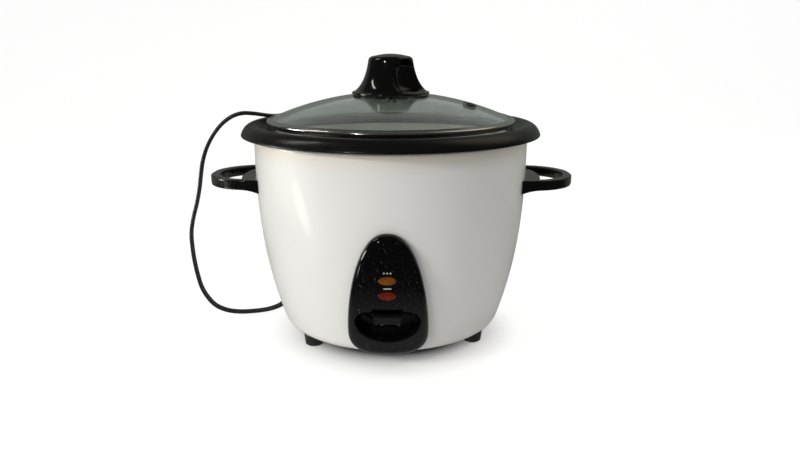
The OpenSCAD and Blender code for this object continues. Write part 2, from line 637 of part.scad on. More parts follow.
// Lever: paddle in the recess, arm, hub on the pin and fork under the rod's collar
arm_t = 2.4;
paddle_z = recess_z + 0.3;
paddle_y = 1.5 - recess_front;
fork_half = rod_r + 0.7;
collar_z = pivot_z + arm_t / 2 + 0.8;
module cook_lever() color("#1c1c1c") {
    half = ear_gap - 0.4;
    difference() {
        union() {
            translate([-half, pivot_y, pivot_z]) rotate([0, 90, 0]) cylinder(r = pin_r + 2.4, h = 2 * half);
            translate([-half + 1, pivot_y, pivot_z - arm_t / 2])
                cube([2 * half - 2, 4.4 - pivot_y, arm_t]);
            rotate([90, 0, 90]) translate([0, 0, -half + 1]) linear_extrude(2 * half - 2)
                polygon([[pivot_y + 1, pivot_z - arm_t / 2], [pivot_y + 1, pivot_z + arm_t / 2],
                    [pivot_y - 8, pivot_z + 3], [paddle_y + 12, paddle_z + paddle_h / 2 - 1.8],
                    [paddle_y + 1, paddle_z + paddle_h / 2], [paddle_y + 1, paddle_z + paddle_h / 2 - 1.8],
                    [paddle_y + 12, paddle_z - 1.6], [pivot_y - 6, pivot_z - arm_t / 2]]);
            translate([-paddle_w / 2, paddle_y, paddle_z - paddle_h / 2]) cube([paddle_w, 2, paddle_h]);
            translate([-paddle_w / 2, paddle_y, paddle_z + paddle_h / 2 - 1.8])
                cube([paddle_w, 7, 1.8]);
        }
        translate([-20, pivot_y, pivot_z]) rotate([0, 90, 0]) cylinder(r = pin_r + fit_gap, h = 40);
        translate([-fork_half, -fork_half - 0.4, pivot_z - 3]) cube([2 * fork_half, 12, 6]);
    }
}

rod_low = pivot_z - arm_t / 2 - 4;
magnet_low = bracket_top + 0.8;
magnet_t = 4;
module lift_rod() color("silver") {
    translate([0, 0, rod_low]) cylinder(r = rod_r, h = magnet_low + magnet_t - rod_low);
    translate([0, 0, collar_z]) cylinder(r = rod_r + 2, h = 1.5);
}
module latch_magnet() color("#303236") translate([0, 0, magnet_low]) difference() {
    cylinder(r = magnet_r, h = magnet_t);
    translate([0, 0, -1]) cylinder(r = rod_r + 0.02, h = magnet_t + 2);
}
module rod_spring() color("gainsboro")
    coil_spring(rod_r + 1.4, 0.4, collar_z + 1.5 + 0.05, guide_low - 0.05, 5, 14, 6);

cup_skirt = 13.4;
cup_t = 1;
ferrite_t = 2.4;
module sensor_cup() color("lightgray") rotate_extrude() polygon([[0, plate_top - cup_t],
    [cup_r - 1, plate_top - cup_t], [cup_r - 1, plate_top - cup_skirt],
    [cup_r, plate_top - cup_skirt], [cup_r, plate_top - 1.2], [cup_r - 1.2, plate_top], [0, plate_top]]);
module sensor_ferrite() color("#2a2a2c")
    translate([0, 0, plate_top - cup_t - ferrite_t]) cylinder(r = magnet_r, h = ferrite_t);
module sensor_spring() color("gainsboro")
    coil_spring(cup_r - 3.4, 0.7, bracket_top + 0.05, plate_top - cup_t - 0.05, 5, 20, 8);

// Point at that angle and height, inside the shell's surface by deep
function in_shell(a, z, deep) = [(shell_r(z) - deep) * cos(a), (shell_r(z) - deep) * sin(a), z];

// Leads from the cord to the heater, and from the heater to the lamps
module inner_leads() color("firebrick") {
    tip = [element_r * cos(90 + element_gap), element_r * sin(90 + element_gap), blade_low - 0.6];
    tube([gland_point(-9) + [2.2, 1, 0], [-30, 53, 18], [-22, 48, 15.6], [-14.5, 46.8, 15.8], tip],
        1.3, 6);
    tube([gland_point(-9) + [-2.2, -1, 0], [-34, 38, 17], [-18, 31, 15.6], [0, 34, 15.6],
        [9, 43, 15.8], [-tip[0], tip[1], tip[2]]], 1.3, 6);
    tube([[29.5, pivot_y + 15, contact_low + 1.3], [30.5, pivot_y + 6, contact_low + 1.3],
        [34, pivot_y - 14, 38],
        in_shell(-69, 44, 6.9), in_shell(-74, 52, 4.7), in_shell(-81, 57, 5.6),
        [5, -holder_back + 4, cook_z], [4, -holder_back + 0.3, cook_z]], 1.1, 6);
}

// ---- cord and plug
gland_angle = 118;
gland_z = base_top + 9.6;
gland_r = 5;
relief_len = 20;
module gland_axis() {
    translate([shell_r(gland_z) * cos(gland_angle), shell_r(gland_z) * sin(gland_angle), gland_z])
        rotate([0, 90 + shell_tilt(gland_z), gland_angle]) children();
}
// Point on the gland's axis, out from the shell's side by out
function gland_point(out) = let (t = shell_tilt(gland_z), r = shell_r(gland_z) + out * cos(t))
    [r * cos(gland_angle), r * sin(gland_angle), gland_z - out * sin(t)];
module cord_gland() color("#161616") gland_axis() rotate_extrude(convexity = 4) polygon([
    [1.6, -5], [gland_r + 1.6, -5], [gland_r + 1.6, -shell_wall - 1.2], [gland_r, -shell_wall - 1.2],
    [gland_r, 0.5], [gland_r + 2.4, 0.5], [gland_r + 2.4, 2.4], [gland_r - 0.6, 3.4],
    [cord_d / 2 + 0.9, relief_len], [0, relief_len], [0, -2], [1.6, -2]]);

route = concat([gland_point(relief_len + eps), gland_point(relief_len + 2)],
    [[-54, 101, 10], [-59, 107.5, 6.8], [-66, 112.5, 4.2],
    [-75, 113.5, 3], [-84, 110, 2.8], [-91, 102, 2.8], [-95, 91, 2.8], [-96, 79, 2.8],
    [-95, 67, 2.8], [-93.5, 55, 2.8], [-93.5, 44, 2.8], [-97, 34, 2.8], [-104.5, 26, 2.8],
    [-115, 21.5, 2.8], [-127, 19.5, 3], [-137, 18.5, 4.8], [-145.5, 18, 9], [-151.5, 17.5, 16],
    [-156, 17, 25], [-158.7, 17, 36], [-160.4, 16.5, 48], [-161.2, 16, 60], [-161, 15.5, 72],
    [-158.5, 15, 84], [-154.8, 14.5, 96], [-151.8, 14, 108], [-149.8, 13.5, 119],
    [-147.3, 12, 130], [-143.3, 10.5, 140.5], [-137.5, 9.5, 150.5], [-130.5, 9, 159],
    [-122.5, 8.8, 165], [-114.5, 10, 167.7], [-107, 12.5, 167.4], [-101, 16.5, 166.2],
    [-96, 22, 164.9], [-92.4, 29, 163.9], [-88.8, 37, 163.4], [-84, 46.4, 163.3],
    [-77.6, 56.3, 163.3], [-67.7, 67.7, 163.3], [-57.6, 76.5, 163.5], [-48.8, 84, 164.6],
    [-40.6, 91.4, 165.8], [-33, 98.2, 165.9], [-26.5, 104.4, 164.1], [-21.6, 110, 159.4],
    [-18.6, 113.8, 151.5], [-16.8, 116, 143], [-15.5, 117.2, 132.5],
    [-14.5, 117.5, 121], [-13.5, 117.5, 107], [-12.5, 118, 93], [-12, 118.5, 79],
    [-11.5, 119, 65], [-11, 119.5, 51], [-10.5, 120.5, 38], [-8.5, 122.5, 26], [-4.5, 126, 15.5],
    [2, 131.5, 8.4], [9.5, 137.5, 5.4], [13.5, 140.5, 4.6]]);
module power_cord() color("#141414") tube(route, cord_d / 2, 10);

coil_c = [42, 126];
coil_mean_r = 27;
coil_half = 6;
coil_h = 6.4;
coil_low = 0.9;
module cord_coil() color("#141414") translate([coil_c[0], coil_c[1], 0]) rotate_extrude()
    polygon([for (p = [[-1, 0.25], [-0.75, 0.03], [0.75, 0.03], [1, 0.25], [1, 0.75], [0.7, 1],
        [-0.7, 1], [-1, 0.75]]) [coil_mean_r + p[0] * coil_half, coil_low + p[1] * coil_h]]);
module cord_tie() color("#202020")
    translate([coil_c[0] - coil_mean_r, coil_c[1], coil_low + coil_h / 2])
    rotate([90, 0, 0]) linear_extrude(5, center = true) difference() {
        square([2 * coil_half + 1.6, coil_h + 1.6], center = true);
        square([2 * coil_half + 0.2, coil_h + 0.2], center = true);
    }
plug_x = coil_c[0] + coil_mean_r;
plug_y = coil_c[1] - 18;
plug_z = 6.5;
module plug_body() color("#161616") translate([plug_x, plug_y, plug_z]) rotate([90, 0, 0]) {
    cylinder(r1 = cord_d / 2 + 0.6, r2 = 4.4, h = 14);
    translate([0, 0, 12]) linear_extrude(18)
        polygon([[-11, -3.6], [-8, -6], [8, -6], [11, -3.6], [11, 3.6], [8, 6], [-8, 6], [-11, 3.6]]);
}
module plug_blades() color("goldenrod") for (s = [-1, 1])
    translate([plug_x + s * 6.35 - 0.75, plug_y - 30 - 16, plug_z - 3.2]) difference() {
        cube([1.5, 16 - 0.02, 6.4]);
        translate([-1, 4, 3.2]) rotate([0, 90, 0]) cylinder(r = 1.3, h = 4, $fn = 24);
    }

// ---- pot
pot_low = plate_top + eps;
rim_round = 8.5;
rim_turn = 70;
rim_crest_r = rim_r - rim_round;
ledge_r = lid_r + 1.5;
// Point of the rim's skirt at a turn of a from its crest, in from its outer face by off
function skirt(a, off) = let (w = rim_round / sin(rim_turn), f = rim_fall / (1 - cos(rim_turn)))
    [rim_crest_r + w * sin(a), crest_z - f * (1 - cos(a))] - off * unit([f * sin(a), w * cos(a)]);
function pot_rim_top(t) = concat(
    [for (a = [0:30:90]) [pot_r - t + 2 - 2 * cos(a), ledge_z - 2 + 2 * sin(a)]],
    [for (i = [0:8]) bez([[ledge_r, ledge_z], [ledge_r + 3, ledge_z],
        [rim_crest_r - 4.5, crest_z], [rim_crest_r, crest_z]], i / 8)],
    [for (i = [1:6]) skirt(rim_turn * i / 6, 0)]);
function pot_rim_under(t) = concat(
    [for (i = [6:-1:1]) skirt(rim_turn * i / 6, t)],
    [for (i = [8:-1:0]) bez([[ledge_r + 0.6, ledge_z - t], [ledge_r + 3.4, ledge_z - t],
        [rim_crest_r - 4.5, crest_z - t], [rim_crest_r, crest_z - t]], i / 8)],
    [[pot_r + 1.6, ledge_z - t], [pot_r, ledge_z - t - 1.6]]);
module inner_pot() color("#1a1c1c") {
    t = pot_wall;
    b = pot_bend_r;
    c = [pot_r - 1 - b, pot_low + b];
    rotate_extrude($fn = 120) polygon(concat([[0, pot_low + t]],
        [for (a = [0:10:90]) [c[0] + (b - t) * sin(a), c[1] - (b - t) * cos(a)]],
        pot_rim_top(t), pot_rim_under(t),
        [for (a = [90:-10:0]) [c[0] + b * sin(a), c[1] - b * cos(a)]], [[0, pot_low]]));
}

// ---- lid
function dome_drop(r) = dome_r - sqrt(dome_r * dome_r - r * r);
glass_r = lid_r - lid_sheet - 0.6;
glass_gap = 0.15;
dome_top = ledge_z + seat_gap + lid_sheet + glass_gap + glass_t + dome_drop(lid_r);
function dome_z(r) = dome_top - dome_drop(r);
vent_angle = -16;
knob_hole_r = 3;

module at_vent() {
    translate([0, 0, dome_top - dome_r]) rotate([0, asin(vent_at / dome_r), vent_angle])
        translate([0, 0, dome_r]) children();
}
module lid_glass() color("lightcyan", 0.4) difference() {
    steps = 20;
    rotate_extrude($fn = 120) polygon(concat(
        [for (i = [0:steps]) let (r = knob_hole_r + (glass_r - knob_hole_r) * i / steps)
            [r, dome_z(r)]],
        [for (i = [steps:-1:0]) let (r = knob_hole_r + (glass_r - knob_hole_r) * i / steps)
            [r, dome_z(r) - glass_t]]));
    at_vent() translate([0, 0, -glass_t - 2]) cylinder(r = vent_hole_r + 1.2, h = glass_t + 4);
}
lip_w = 3.6;
function lip_line(off) = [for (i = [0:4]) let (r = lid_r - lip_w + (lip_w - lid_sheet - glass_gap) * i / 4)
    [r, dome_z(r) + off]];
module lid_rim() color("silver") {
    g = glass_gap;
    s = lid_sheet;
    rotate_extrude($fn = 120) polygon(concat(lip_line(g), flip(lip_line(-glass_t - g)),
        [[lid_r - lip_w, dome_z(lid_r - lip_w) - glass_t - g - s],
         [lid_r - 0.8, dome_z(lid_r - 0.8) - glass_t - g - s],
         [lid_r, dome_z(lid_r) - glass_t - g - s + 0.6],
         [lid_r, dome_z(lid_r) + g + s - 0.6], [lid_r - 0.8, dome_z(lid_r - 0.8) + g + s]],
        [[lid_r - lip_w, dome_z(lid_r - lip_w) + g + s]]));
}
module steam_vent() color("silver") at_vent() rotate_extrude() polygon([
    [vent_hole_r, -glass_t - 1.2], [vent_hole_r + 2.4, -glass_t - 1.2],
    [vent_hole_r + 2.4, -glass_t - 0.3], [vent_hole_r + 1, -glass_t - 0.3], [vent_hole_r + 1, 0.35],
    [vent_hole_r + 2.9, 0.35], [vent_hole_r + 2.6, 1.1], [vent_hole_r + 0.8, 1.5], [vent_hole_r, 1]]);

knob_low = dome_z(knob_r) + 0.25;
knob_plate_t = 2.2;
scoop_r = 15;
scoop_at = knob_top_r + scoop_r - 5;
// Side of the knob, from the foot plate up to the crown
function knob_side() = concat(
    [for (i = [0:10]) bez([[knob_r - 1.6, knob_low + knob_plate_t], [knob_r - 8, knob_low + 7],
        [knob_top_r + 1.6, knob_low + knob_h * 0.5], [knob_top_r, knob_low + knob_h - 5.4]], i / 10)],
    [for (a = [20:20:80]) [knob_top_r - 3.6 + 3.6 * cos(a), knob_low + knob_h - 5.4 + 3.6 * sin(a)]]);
module knob() color("#101010") difference() {
    rotate_extrude($fn = 96) polygon(concat([[0, knob_low + 5], [knob_r - 9, knob_low + 3.4],
        [knob_r - 4, knob_low + 0.9], [knob_r - 1.4, knob_low], [knob_r, knob_low + 0.5],
        [knob_r, knob_low + knob_plate_t - 0.5], [knob_r - 0.5, knob_low + knob_plate_t]], knob_side(),
        [for (i = [0:4]) let (r = (knob_top_r - 3.6) * (1 - i / 4)) [r, knob_low + knob_h
            - 1.8 * pow(r / (knob_top_r - 3.6), 2)]]));
    for (a = [-45, 135]) rotate(a) translate([scoop_at, 0, 0]) rotate_extrude()
        polygon(concat([[0, knob_low + knob_plate_t + 2]],
            [for (i = [0:6]) bez([[scoop_r * 0.84, knob_low + knob_plate_t + 2],
                [scoop_r * 0.94, knob_low + 7], [scoop_r, knob_low + 12],
                [scoop_r, knob_low + knob_h * 0.62]], i / 6)],
            [for (b = [15:15:90]) [scoop_r * cos(b), knob_low + knob_h * 0.62
                + (knob_h * 0.34) * sin(b)]]));
    cylinder(r = knob_screw_r + 0.02, h = knob_low + 14);
}
knob_screw_r = 2;
washer_t = 1.6;
module knob_washer() color("#303030") difference() {
    translate([0, 0, dome_z(12) - glass_t - washer_t - 0.1]) cylinder(r = 12, h = washer_t);
    cylinder(r = knob_screw_r + hole_gap, h = 300);
}
module knob_screw() color("silver")
    translate([0, 0, dome_z(12) - glass_t - washer_t - 0.1]) pan_screw(knob_screw_r,
        knob_low + 12 - dome_z(12) + glass_t + washer_t, 4.4, 2.4);

outer_shell();
inner_liner();
base_cover();
foot(foot_at[0]);  // foot_front_left
foot(foot_at[1]);  // foot_front_right
foot(foot_at[2]);  // foot_rear
base_screws();
handle_left();
handle_right();
handle_screws();
control_panel();
panel_screws();
warm_lens();
cook_lens();
lamp_holder();
neon_lamps();
heating_plate();
heating_element();
plate_posts();
plate_screws();
keep_warm_heater();
thermal_fuse();
switch_bracket();
bracket_screws();
contact_block();
contact_blades();
lever_pin();
cook_lever();
lift_rod();
latch_magnet();
rod_spring();
sensor_cup();
sensor_ferrite();
sensor_spring();
inner_leads();
cord_gland();
power_cord();
cord_coil();
cord_tie();
plug_body();
plug_blades();
inner_pot();
lid_glass();
lid_rim();
steam_vent();
knob();
knob_washer();
knob_screw();
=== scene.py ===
"""Looks of the pot-style rice cooker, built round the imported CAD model.

Lengths are in millimetres, in the model's own frame: +Z up, the front panel towards -Y.
They become metres where a mesh is made.
"""

import math

import bmesh
import bpy
import numpy as np
from mathutils import Matrix, Vector


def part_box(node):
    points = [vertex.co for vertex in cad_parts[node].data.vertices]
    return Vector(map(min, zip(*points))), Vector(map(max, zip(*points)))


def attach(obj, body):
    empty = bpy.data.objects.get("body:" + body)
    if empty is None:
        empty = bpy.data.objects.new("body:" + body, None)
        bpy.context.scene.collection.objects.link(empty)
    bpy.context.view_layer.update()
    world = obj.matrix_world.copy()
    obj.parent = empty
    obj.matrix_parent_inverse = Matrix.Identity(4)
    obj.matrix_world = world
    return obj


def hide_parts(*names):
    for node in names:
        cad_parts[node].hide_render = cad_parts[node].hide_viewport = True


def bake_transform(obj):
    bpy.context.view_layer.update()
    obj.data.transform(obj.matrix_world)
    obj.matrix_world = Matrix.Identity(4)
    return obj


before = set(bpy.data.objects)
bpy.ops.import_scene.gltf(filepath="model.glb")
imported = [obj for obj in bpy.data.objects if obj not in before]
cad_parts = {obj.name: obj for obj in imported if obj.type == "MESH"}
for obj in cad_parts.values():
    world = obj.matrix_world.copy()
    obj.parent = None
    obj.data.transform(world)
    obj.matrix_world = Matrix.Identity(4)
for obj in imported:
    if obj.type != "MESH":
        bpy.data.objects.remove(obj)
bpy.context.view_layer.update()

MM = 0.001
SAME_POINT = 1e-6      # metres within which points are joined


def high(solid):
    """Highest corner of a CAD node, in millimetres."""
    return np.array(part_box(solid)[1]) / MM


def low(solid):
    """Lowest corner of a CAD node, in millimetres."""
    return np.array(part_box(solid)[0]) / MM


# ---------------- meshes
def arc(centre, radius, start, end, steps):
    """Points on an arc between two angles in degrees."""
    return [(centre[0] + radius * math.cos(t), centre[1] + radius * math.sin(t))
            for t in np.radians(np.linspace(start, end, steps + 1))]


def bezier(points, steps):
    """Points on the cubic curve of four control points."""
    a, b, c, d = np.array(points, float)
    return [tuple((1 - t) ** 3 * a + 3 * t * (1 - t) ** 2 * b + 3 * t * t * (1 - t) * c + t ** 3 * d)
            for t in np.linspace(0, 1, steps + 1)]


def linked(name, data):
    """A new object of that mesh, lamp or camera, in the scene."""
    made = bpy.data.objects.new(name, data)
    bpy.context.scene.collection.objects.link(made)
    return made


def loose(name, verts, faces):
    """Closed form from vertices in millimetres; faces wind either way round and are made to agree."""
    mesh = bpy.data.meshes.new(name)
    mesh.from_pydata([tuple(v) for v in np.asarray(verts, float) * MM], [], [tuple(f) for f in faces])
    work = bmesh.new()
    work.from_mesh(mesh)
    bmesh.ops.remove_doubles(work, verts=work.verts, dist=SAME_POINT)
    bmesh.ops.recalc_face_normals(work, faces=work.faces)
    work.to_mesh(mesh)
    work.free()
    return linked(name, mesh)


def add(name, verts, faces, body, material, slot, sharp=35.0, replaces=()):
    """A finished piece from vertices in millimetres."""
    return dress(loose(name, verts, faces), body, material, sharp, replaces)


def dress(piece, body, material, sharp=35.0, replaces=()):
    """Gives a piece its finish and its body; edges that turn more than sharp degrees stay sharp."""
    mesh = piece.data
    mesh.shade_smooth()
    mesh.set_sharp_from_angle(angle=math.radians(sharp))
    mesh.materials.clear()
    mesh.materials.append(material)
    if body:
        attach(piece, body)
    if replaces:
        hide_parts(*replaces)
    return piece


def full_turn(steps):
    """Angles once round, in radians."""
    return np.linspace(0, 2 * math.pi, steps, endpoint=False)


def ring_faces(rings, around):
    """Quads between neighbouring rings of equal count."""
    return [(j * around + i, j * around + (i + 1) % around, (j + 1) * around + (i + 1) % around,
             (j + 1) * around + i) for j in range(rings - 1) for i in range(around)]


def capped(rings, around):
    """Quads between neighbouring rings, and a cap on the first and the last."""
    return ring_faces(rings, around) + [tuple(range(around))[::-1],
                                        tuple(range((rings - 1) * around, rings * around))]


def revolve(profile, around=256):
    """Vertices and faces of a closed profile of (radius, height) turned about Z."""
    verts = [(r * math.cos(t), r * math.sin(t), z) for r, z in profile for t in full_turn(around)]
    last = (len(profile) - 1) * around
    faces = ring_faces(len(profile), around)
    faces += [(last + i, last + (i + 1) % around, (i + 1) % around, i) for i in range(around)]
    return verts, faces


def smooth_line(points, spacing):
    """Catmull-Rom curve through points, resampled about that far apart."""
    p = np.array(points, float)
    p = np.vstack([2 * p[0] - p[1], p, 2 * p[-1] - p[-2]])
    out = []
    for a, b, c, d in zip(p, p[1:], p[2:], p[3:]):
        for t in np.linspace(0, 1, 12, endpoint=False):
            out.append(0.5 * (2 * b + (c - a) * t + (2 * a - 5 * b + 4 * c - d) * t * t
                              + (3 * b - a - 3 * c + d) * t ** 3))
    out = np.array(out + [p[-2]])
    run = np.r_[0, np.cumsum(np.linalg.norm(np.diff(out, axis=0), axis=1))]
    want = np.linspace(0, run[-1], max(2, int(run[-1] / spacing) + 1))
    return np.column_stack([np.interp(want, run, out[:, k]) for k in range(3)])


def sweep(line, outline, wide_at):
    """Closed tube of a flat outline of (across, through) along a line; wide_at(tangent, the across
    before it) gives the direction of across."""
    tangents = np.gradient(line, axis=0)
    tangents /= np.linalg.norm(tangents, axis=1)[:, None]
    verts, across = [], None
    for point, tangent in zip(line, tangents):
        across = wide_at(tangent, across)
        through = np.cross(across, tangent)
        verts += [point + u * across + v * through for u, v in outline]
    return verts, capped(len(line), len(outline))


# ---------------- materials
def material(name, color, rough, metallic=0.0, **sockets):
    """Principled material; sockets are set on the shader itself."""
    made = bpy.data.materials.new(name)
    made.use_nodes = True
    shader = made.node_tree.nodes["Principled BSDF"]
    shader.inputs["Base Color"].default_value = (*color, 1)
    shader.inputs["Roughness"].default_value = rough
    shader.inputs["Metallic"].default_value = metallic
    for key, value in sockets.items():
        shader.inputs[key.replace("_", " ")].default_value = value
    return made


def node(made, kind, links=(), **values):
    """A node of that kind; links are (input, source node, output), values are inputs or attributes."""
    made_node = made.node_tree.nodes.new("ShaderNode" + kind)
    for key, value in values.items():
        if hasattr(made_node, key):
            setattr(made_node, key, value)
        else:
            made_node.inputs[key.replace("_", " ")].default_value = value
    for into, source, output in links:
        made.node_tree.links.new(source.outputs[output], made_node.inputs[into])
    return made_node


def place(made):
    """Node whose Object output is the position on the piece, in metres."""
    return node(made, "TexCoord")


def mapped(made, scale, shift=(0, 0, 0)):
    """Position on the piece, scaled and then shifted; its output is Vector."""
    mapping = node(made, "Mapping", [("Vector", place(made), "Object")])
    mapping.inputs["Scale"].default_value = scale
    mapping.inputs["Location"].default_value = shift
    return mapping


def length(made, source, output):
    """Length of a vector; its output is Value."""
    return node(made, "VectorMath", [("Vector", source, output)], operation="LENGTH")


def noise(made, scale, detail=2.0, rough=0.5, stretch=None):
    """Noise by position; stretch scales the axes apart. Its output is Fac."""
    source, out = (mapped(made, stretch), "Vector") if stretch else (place(made), "Object")
    return node(made, "TexNoise", [("Vector", source, out)], Scale=scale, Detail=detail, Roughness=rough)


def math_node(made, operation, a, b=None):
    """A Math node; each input is (node, output) or a number. Its output is 0."""
    made_math = node(made, "Math", operation=operation)
    for socket, value in zip(made_math.inputs, (a, b)):
        if isinstance(value, tuple):
            made.node_tree.links.new(value[0].outputs[value[1]], socket)
        elif value is not None:
            socket.default_value = value
    return made_math


def ramp(made, source, output, stops):
    """Colour ramp; stops are (position, colour or grey)."""
    made_ramp = node(made, "ValToRGB", [("Fac", source, output)])
    elements = made_ramp.color_ramp.elements
    while len(elements) < len(stops):
        elements.new(0.5)
    for element, (at, value) in zip(elements, stops):
        element.position = at
        element.color = (*value, 1) if hasattr(value, "__len__") else (value, value, value, 1)
    return made_ramp


def mix(made, factor, factor_out, a, b):
    """Mixes two colours; a and b are colours or (node, output)."""
    mixer = node(made, "Mix", [("Factor", factor, factor_out)], data_type="RGBA")
    for socket, value in zip([s for s in mixer.inputs if s.type == "RGBA"], (a, b)):
        if isinstance(value[0], (int, float)):
            socket.default_value = (*value, 1)
        else:
            made.node_tree.links.new(value[0].outputs[value[1]], socket)
    return mixer


RESULT = 2    # the mixed colour's place among a Mix node's outputs


def wire(made, source, output, socket):
    """Links an output to the shader's socket of that name."""
    made.node_tree.links.new(source.outputs[output], made.node_tree.nodes["Principled BSDF"].inputs[socket])


def bump(made, source, output, height, strength=1.0):
    """Bump of that height, in metres."""
    made_bump = node(made, "Bump", [("Height", source, output)], Strength=strength, Distance=height)
    wire(made, made_bump, "Normal", "Normal")


def plain(name, color, rough, metallic=0.0, scale=60, amount=0.06, rough_by=0.03, grain=0.00003,
          grain_scale=900, **sockets):
    """Usual surface: slight colour change, roughness change and a fine grain."""
    made = material(name, color, rough, metallic, **sockets)
    source = noise(made, scale, 3.0)
    shades = [tuple(c * (1 - amount) for c in color), tuple(min(1, c * (1 + amount)) for c in color)]
    wire(made, ramp(made, source, "Fac", [(0.3, shades[0]), (0.7, shades[1])]), "Color", "Base Color")
    wire(made, ramp(made, source, "Fac", [(0.3, rough - rough_by), (0.7, rough + rough_by)]),
         "Color", "Roughness")
    bump(made, noise(made, grain_scale), "Fac", grain)
    return made


# ---------------- camera, floor and light
# Lengths of the camera and the stage are in metres, and angles in degrees
CAMERA_AT = (0.0069, -0.566, 0.225)      # before its turn about the part
CAMERA_TURN, CAMERA_DOWN = 0.75, 14.14
LENS_MM, SENSOR_MM = 33.75, 36.0


def make_camera():
    """Camera in front of the part and a little above it."""
    data = bpy.data.cameras.new("camera")
    data.lens, data.sensor_width = LENS_MM, SENSOR_MM
    data.clip_start = 0.01
    camera = linked("camera", data)
    camera.location = Matrix.Rotation(math.radians(CAMERA_TURN), 3, "Z") @ Vector(CAMERA_AT)
    camera.rotation_euler = (math.radians(90 - CAMERA_DOWN), 0, math.radians(CAMERA_TURN))
    bpy.context.scene.camera = camera


def seen_as(made, ray, share, color):
    """Lets rays of that kind see that share of a flat colour in a stage material or world. The share is
    a number and the color a colour, or either is a ramp that gives it."""
    tree = made.node_tree
    output = next(n for n in tree.nodes if n.type in ("OUTPUT_MATERIAL", "OUTPUT_WORLD"))
    before = output.inputs["Surface"].links[0].from_socket
    part = share if isinstance(share, float) else (share, "Color")
    scaled = math_node(made, "MULTIPLY", (node(made, "LightPath"), ray), part)
    flat = node(made, "Background" if output.type == "OUTPUT_WORLD" else "Emission", Strength=1.0)
    if isinstance(color, tuple):
        flat.inputs["Color"].default_value = (*color, 1)
    else:
        tree.links.new(color.outputs["Color"], flat.inputs["Color"])
    blend = node(made, "MixShader", [(0, scaled, 0), (2, flat, 0)])
    tree.links.new(before, blend.inputs[1])
    tree.links.new(blend.outputs[0], output.inputs["Surface"])


SWEEP_WHITE, UNDER_BASE_SHADE = (0.93, 0.93, 0.925), (0.03, 0.03, 0.03)
PAINTED_SHADE_R = (0.055, 0.072)                 # the floor is painted dark as shade under the part up to the first radius, white from the second
SHADOW_R, CUT_OUT = (0.058, 0.1), 0.85   # between these radii the shadow fades to a cut-out white
CUT_OUT_WHITE = (1.08, 1.08, 1.08)
SWEEP_HALF = 4
FLOOR_FRONT, FLOOR_BACK = -0.27, 0.2
BACKDROP_AT, BACKDROP_R = 1.2, 1.0
FLOOR_MIRRORED = [(0.12, 0.22), (0.16, 0.14), (0.2, 0.04)]      # distance from the middle, grey
BACKDROP_MIRRORED = [(0.0, (0.17, 0.18, 0.165)), (1.0, (0.17, 0.18, 0.165))]
STREAK_AT, STREAK_HALF, STREAK_COLOR = (-0.48, -0.16), (0.24, 0.05), (7.0, 7.0, 6.4)
GLASS_SEES = (0.205, 0.22, 0.2)          # what is seen of the stage and the world through glass


def spot(made, at, size):
    """White within an oval of that half size at (x, y), fading out to its edge."""
    oval = mapped(made, (1 / size[0], 1 / size[1], 0), (-at[0] / size[0], -at[1] / size[1], 0))
    return ramp(made, length(made, oval, "Vector"), "Value", [(0.45, 1.0), (1.0, 0.0)])


def make_sweep(name, curve, mirrored, streak=None):
    """A strip of the white sweep along a curve of (y, z). In reflections it has the look of mirrored,
    as (distance from the part's middle, colour), and a bright oval at streak, as (place, half size)."""
    look = material(name + "_white", SWEEP_WHITE, 0.95)
    from_middle = length(look, place(look), "Object")
    # painted shade: the floor's own colour is dark under the part, where its shadow falls
    under = ramp(look, from_middle, "Value", [(PAINTED_SHADE_R[0], UNDER_BASE_SHADE), (PAINTED_SHADE_R[1], SWEEP_WHITE)])
    wire(look, under, "Color", "Base Color")
    white = ramp(look, from_middle, "Value", [(SHADOW_R[0], 0.0), (SHADOW_R[1], CUT_OUT)])
    seen_as(look, "Is Camera Ray", white, CUT_OUT_WHITE)
    seen_as(look, "Is Glossy Ray", 1.0, ramp(look, from_middle, "Value", mirrored))
    if streak:
        seen_as(look, "Is Glossy Ray", spot(look, *streak), STREAK_COLOR)
    seen_as(look, "Is Transmission Ray", 1.0, GLASS_SEES)
    verts = [(x, y, z) for y, z in curve for x in (-SWEEP_HALF, SWEEP_HALF)]
    mesh = bpy.data.meshes.new(name)
    mesh.from_pydata(verts, [], [(2 * i, 2 * i + 1, 2 * i + 3, 2 * i + 2) for i in range(len(curve) - 1)])
    mesh.shade_smooth()
    mesh.materials.append(look)
    linked(name, mesh)


def make_stage():
    """A white sweep: a floor that ends in front of the part and curves up into a backdrop."""
    make_sweep("floor", [(FLOOR_FRONT, 0.0), (FLOOR_BACK, 0.0)], FLOOR_MIRRORED, (STREAK_AT, STREAK_HALF))
    rise = arc((BACKDROP_AT, BACKDROP_R), BACKDROP_R, -90, -8, 16)
    make_sweep("backdrop", [(FLOOR_BACK, 0.0), (BACKDROP_AT, 0.0)] + rise + [(2.4, 2.6)], BACKDROP_MIRRORED)


ONLY = 2      # for a lamp that shows in reflections alone
